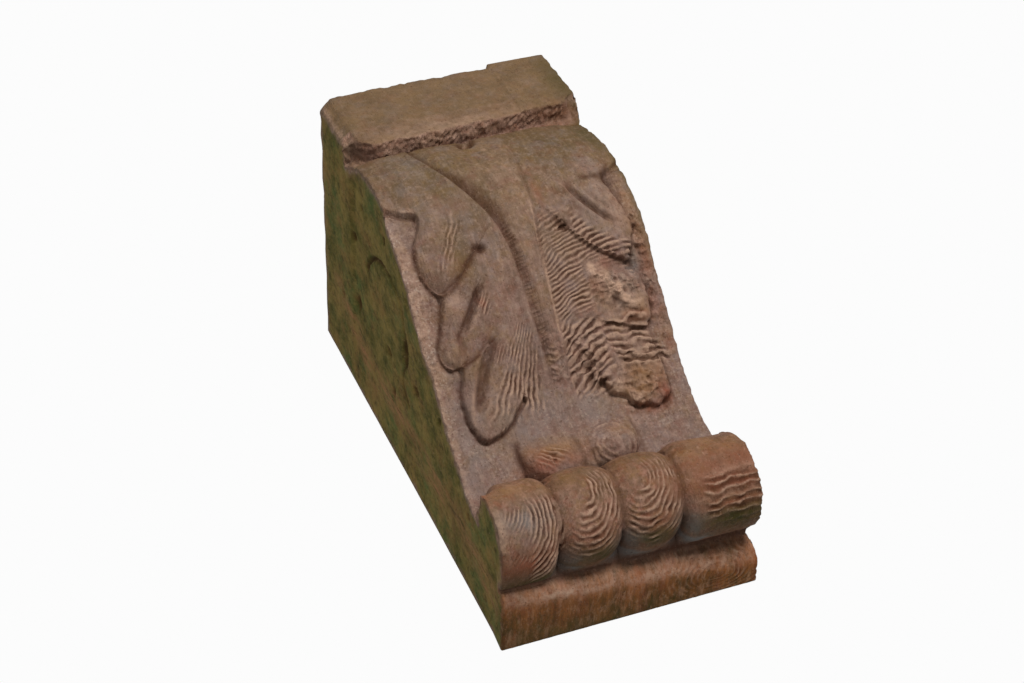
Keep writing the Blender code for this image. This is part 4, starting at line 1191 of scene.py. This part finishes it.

# shares of the coats of stain, painted shade and painted highlight, worked out from those patterns and the
# attributes of the mesh
shares = (
    ("fine", "RANGE", "grain", 0.3, 0.7, 1.0),
    ("both", "MULTIPLY", "fine", 0.4),
    ("both", "MULTIPLY_ADD", "mottle", 0.6, "both"),
    # lower: down the leaf, where the mauve with its painted sky reflection comes in
    ("lower", "MULTIPLY_ADD", "mottle", 40.0, "down"),
    ("lower", "RANGE", "lower", 50.0, 150.0, 1.0),
    ("field", "SUBTRACT", 1.0, "cover"),
    ("thinned", "TIMES", "field", 0.7),
    ("onFoot", "RANGE", "down", 336.0, 341.0, 1.0),
    ("offFoot", "SUBTRACT", 1.0, "onFoot"),
    ("onRoll", "RANGE", "down", 227.0, 236.0, 1.0),
    ("onRoll", "TIMES", "onRoll", "offFoot"),
    ("onCarving", "RANGE", "down", -6.0, 40.0, 0.6),
    ("offRoll", "MULTIPLY_ADD", "onRoll", -0.7, 1.0),
    ("handStained", "ADD", "onCarving", 0.4),
    ("handStained", "TIMES", "handStained", "offRoll"),
    ("ground", "MULTIPLY_ADD", "worn", 1.3, 0.3),
    ("specks", "TIMES", "specks", "field", "ground", "groups"),
    ("strokes", "TIMES", "brushed", "onCarving", 0.4),
    ("footMix", "TIMES", "mottle", 0.5),
    ("footMix", "MULTIPLY_ADD", "endGrain", 0.55, "footMix"),
    ("spotted", "MULTIPLY_ADD", "both", 0.9, 0.4),
    ("sideMix", "TIMES", "mottle", 0.85),
    ("sideMix", "MULTIPLY_ADD", "runs", 0.12, "sideMix"),
    ("bare", "MULTIPLY_ADD", "fibres", 0.75, 0.2),
    ("bare", "TIMES", "rubbed", "bare", 0.85),
    ("fissures", "TIMES", "fissures", "rubbed"),
    # pale: rubbed wear, with painted highlights where some worn spots and lines mark them
    ("pale", "MULTIPLY_ADD", "fine", 1.2, 0.1),
    ("pale", "TIMES", "worn", "pale"),
    # painted highlight: the crests of the tool marks are mixed towards the pale worn colour, as if light
    # caught them
    ("paleCrest", "MULTIPLY_ADD", "fine", 0.8, 0.45),
    ("crest", "RANGE", "crest", 0.2, 0.95, 0.68),
    ("crest", "TIMES", "crest", "paleCrest"),
    ("pale", "MAXIMUM", "pale", "crest"),
    # darker in the troughs of the tool marks and in the hollows: stain and painted shade
    ("settled", "RANGE", "trough", 0.3, 1.2, 1.0),
    ("settled", "MAXIMUM", "hollow", "settled"),
    ("settled", "TIMES", "settled", 0.72),
    ("flecks", "TIMES", "flecks", "onCarving"),
    ("matt", "MAXIMUM", "dust", "side"),
    ("matt", "MAXIMUM", "settled", "matt"),
    ("matt", "MULTIPLY_ADD", "matt", stain["dull"] - stain["satin"], stain["satin"]),
    ("matt", "MULTIPLY_ADD", "fine", 0.12, "matt"),
    ("matt", "MINIMUM", "matt", 1.0),
    ("height", "MULTIPLY", "foamSkin", 0.5),
    ("height", "MULTIPLY_ADD", "grain", 0.6, "height"),
    ("height", "MULTIPLY_ADD", "brushed", 0.3, "height"),
)


def stainedFoam():
    # Rigid polyurethane foam, cast in a mould of carved wood and stained by hand: a satin skin, with dark
    # stain and painted shade in the cuts, pale rubbed crests with painted highlights, a painted sky
    # reflection in the mauve lower down, a wiped tan at the top and an olive tinge on the sides.
    material = bpy.data.materials.new("stainedCastFoam")
    material.use_nodes = True
    tree = material.node_tree
    add = partial(addNode, tree)
    coords = add("ShaderNodeTexCoord", output="Object")

    def pattern(size, detail, rough, seed, spread=None, stretch=None):
        vector = add("ShaderNodeMapping", None, {"Vector": coords, "Scale": stretch}) if stretch else coords
        hills = add("ShaderNodeTexNoise", {"noise_dimensions": "4D"}, {
            "Vector": vector, "W": seed, "Scale": 1.0 / (size * mm), "Detail": detail, "Roughness": rough})
        made = {"hills": hills}
        if spread:
            workOut(tree, [("hills", "RANGE", "hills", *spread)], made)
        return made["hills"]

    def painted(under, *coats, blend="MIX"):
        # coats one over the other, each (share, colour), where a share may be a name and a colour a hex
        for share, over in coats:
            share = known[share] if isinstance(share, str) else share
            under, over = (linear(c) if isinstance(c, str) else c for c in (under, over))
            under = add("ShaderNodeMix", {"data_type": "RGBA", "blend_type": blend},
                        {0: share, 6: under, 7: over}, 2)
        return under

    def tone(name, share):
        dark, light = stain[name]
        return painted(dark, (share, light))

    def patches(name, share, seed, stretch=None):
        coats = []
        for number, (colour, size, most) in enumerate(stain[name]):
            known["patch"] = pattern(size, 5.0, 0.7, seed + number, (*stain["patchEdge"], most), stretch)
            workOut(tree, [("patch", "TIMES", "patch", share)], known)
            coats.append((known["patch"], colour))
        return coats

    known = {name: add("ShaderNodeAttribute", {"attribute_name": name}, output="Fac")
             for name in ("down", "cover", "under", "rough", "hollow", "trough", "crest", "side", "rubbed",
                          *stainSpots)}
    known.update({name: pattern(*settings) for name, settings in patterns.items()})
    workOut(tree, shares, known)

    # the carved front, the block and the roll, with a painted sky reflection in the mauve of the lower leaf
    # and the field
    colour = painted(
        tone("crownTan", "both"), ("lower", tone("leafMauveAndSheen", "both")),
        ("thinned", tone("fieldMauveAndSheen", "fine")), ("under", tone("underside", "both")),
        ("onRoll", tone("roll", "both")), *patches("patches", "handStained", 20.0),
        *patches("tornPatches", "rough", 40.0), *patches("rollPatches", "onRoll", 80.0),
        ("specks", stain["fieldSpecks"]))
    colour = painted(colour, ("strokes", stain["brushed"]), blend="MULTIPLY")

    # the foot's end grain, then the spots
    end = painted(tone("foot", "footMix"), *patches("footPatches", 1.0, 90.0, (1.0, 0.35, 0.35)))
    colour = painted(colour, ("onFoot", end))
    for name, most in stain["spots"]:
        workOut(tree, (("spot", "MULTIPLY", name, "spotted"), ("spot", "TIMES", "spot", most)), known)
        colour = painted(colour, ("spot", stain[name]))

    # the sides, with a band rubbed bare along the grain
    side = painted(tone("side", "sideMix"), *patches("sidePatches", 1.0, 60.0, (1.0, 1.0, 0.8)),
                   ("bare", stain["sideRubbed"]), ("fissures", stain["fissures"]))

    # pale rubbed crests and painted highlights on the tool-mark crests, then dark stain with painted shade
    # in the cuts, and pinholes
    colour = painted(colour, ("side", side), ("pale", stain["worn"]), ("settled", stain["groove"]),
                     ("pinholes", stain["groove"]), ("flecks", stain["worn"]))

    share, depth = stain["bump"]
    bump = add("ShaderNodeBump", None,
               {"Strength": share, "Distance": depth * mm, "Height": known["height"]})
    shader = tree.nodes["Principled BSDF"].inputs
    for name, socket in (("Base Color", colour), ("Roughness", known["matt"]), ("Normal", bump)):
        tree.links.new(socket, shader[name])
    shader["IOR"].default_value = 1.45
    shader["Specular IOR Level"].default_value = stain["gloss"]
    return material


# build the casting

finish = stainedFoam()
print("finish mixed:", len(finish.node_tree.nodes), "nodes")
body = bpy.data.objects.new("corbel_casting", castingMesh())
bpy.context.scene.collection.objects.link(body)
carve = body.modifiers.new("tool marks", "NODES")
carve.node_group = toolMarkTree(finish)
print("tool marks:", len(carve.node_group.nodes), "nodes")
for item in carve.node_group.interface.items_tree:
    if item.item_type == "SOCKET" and item.in_out == "INPUT" and item.name in markInputs:
        carve[item.identifier] = markInputs[item.name][1]
thin = body.modifiers.new("fewer faces", "DECIMATE")
thin.ratio = mesh["triangles"] / len(body.data.polygons)
plain = bpy.data.meshes.new_from_object(body.evaluated_get(bpy.context.evaluated_depsgraph_get()))
body.modifiers.clear()
body.data = plain
plain.name = "corbel_casting"
plain.shade_smooth()
print("casting:", len(plain.polygons), "triangles,", [a.name for a in plain.attributes])
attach(body, "root")
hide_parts("corbel")


# stage, light and camera

stage = {
    "floorDrop": 1.6,  # the corbel hangs at chest height over a pale floor
    "floorSize": 14.0,
    "backdrop": "#FCFCFC",
    "floor": "#F2F2F0",
    "floorGlow": 0.4,  # the floor shows as pale as the room, without lighting the corbel from below
    "skyLight": 0.36,
    "lights": (                  # (name, place, power, size)
        ("keyLight", (0.30, -1.30, -0.30), 12.6, 0.4),
        ("fillLight", (-0.9, -1.0, 0.6), 2.0, 1.2),
    ),
}

bpy.ops.mesh.primitive_plane_add(size=stage["floorSize"], location=(0, 0, -stage["floorDrop"]))
floor = bpy.context.object
floor.name = "floor"
floorPaint = bpy.data.materials.new("matteFloorPaint")
floorPaint.use_nodes = True
floorTree = floorPaint.node_tree
paint = floorTree.nodes["Principled BSDF"].inputs
paint["Base Color"].default_value = linear(stage["floor"])
paint["Roughness"].default_value = 0.9
paint["Emission Color"].default_value = linear(stage["floor"])
seen = addNode(floorTree, "ShaderNodeLightPath", output="Is Camera Ray")
glow = addNode(floorTree, "ShaderNodeMath", "MULTIPLY", (seen, stage["floorGlow"]))
floorTree.links.new(glow, paint["Emission Strength"])
floor.data.materials.append(floorPaint)

world = bpy.data.worlds.new("paleRoom")
bpy.context.scene.world = world
world.use_nodes = True
worldTree = world.node_tree
sky = worldTree.nodes["Background"]
seen = addNode(worldTree, "ShaderNodeLightPath", output="Is Camera Ray")
sky.inputs["Color"].default_value = linear(stage["backdrop"])
skyLight = stage["skyLight"]
strength = addNode(worldTree, "ShaderNodeMath", "MULTIPLY_ADD", (seen, 1.0 - skyLight, skyLight))
worldTree.links.new(strength, sky.inputs["Strength"])

for name, place, power, size in stage["lights"]:
    lamp = bpy.data.lights.new(name, "AREA")
    lamp.energy, lamp.size = power, size
    holder = bpy.data.objects.new(name, lamp)
    holder.location = place
    holder.rotation_euler = (-Vector(place)).to_track_quat("-Z", "Y").to_euler()
    bpy.context.scene.collection.objects.link(holder)

view = {
    "place": (-0.37488, -0.77806, -0.85878),
    "turn": (142.555, 22.233, -1.264),
    "lens": 75.85,
}
camera = bpy.data.objects.new("camera", bpy.data.cameras.new("camera"))
camera.location = view["place"]
camera.rotation_euler = [math.radians(a) for a in view["turn"]]
camera.data.lens = view["lens"]
bpy.context.scene.collection.objects.link(camera)
bpy.context.scene.camera = camera

bpy.context.scene.view_settings.view_transform = "Standard"      # stain colours as mixed
print("floor, room, lights and camera set")
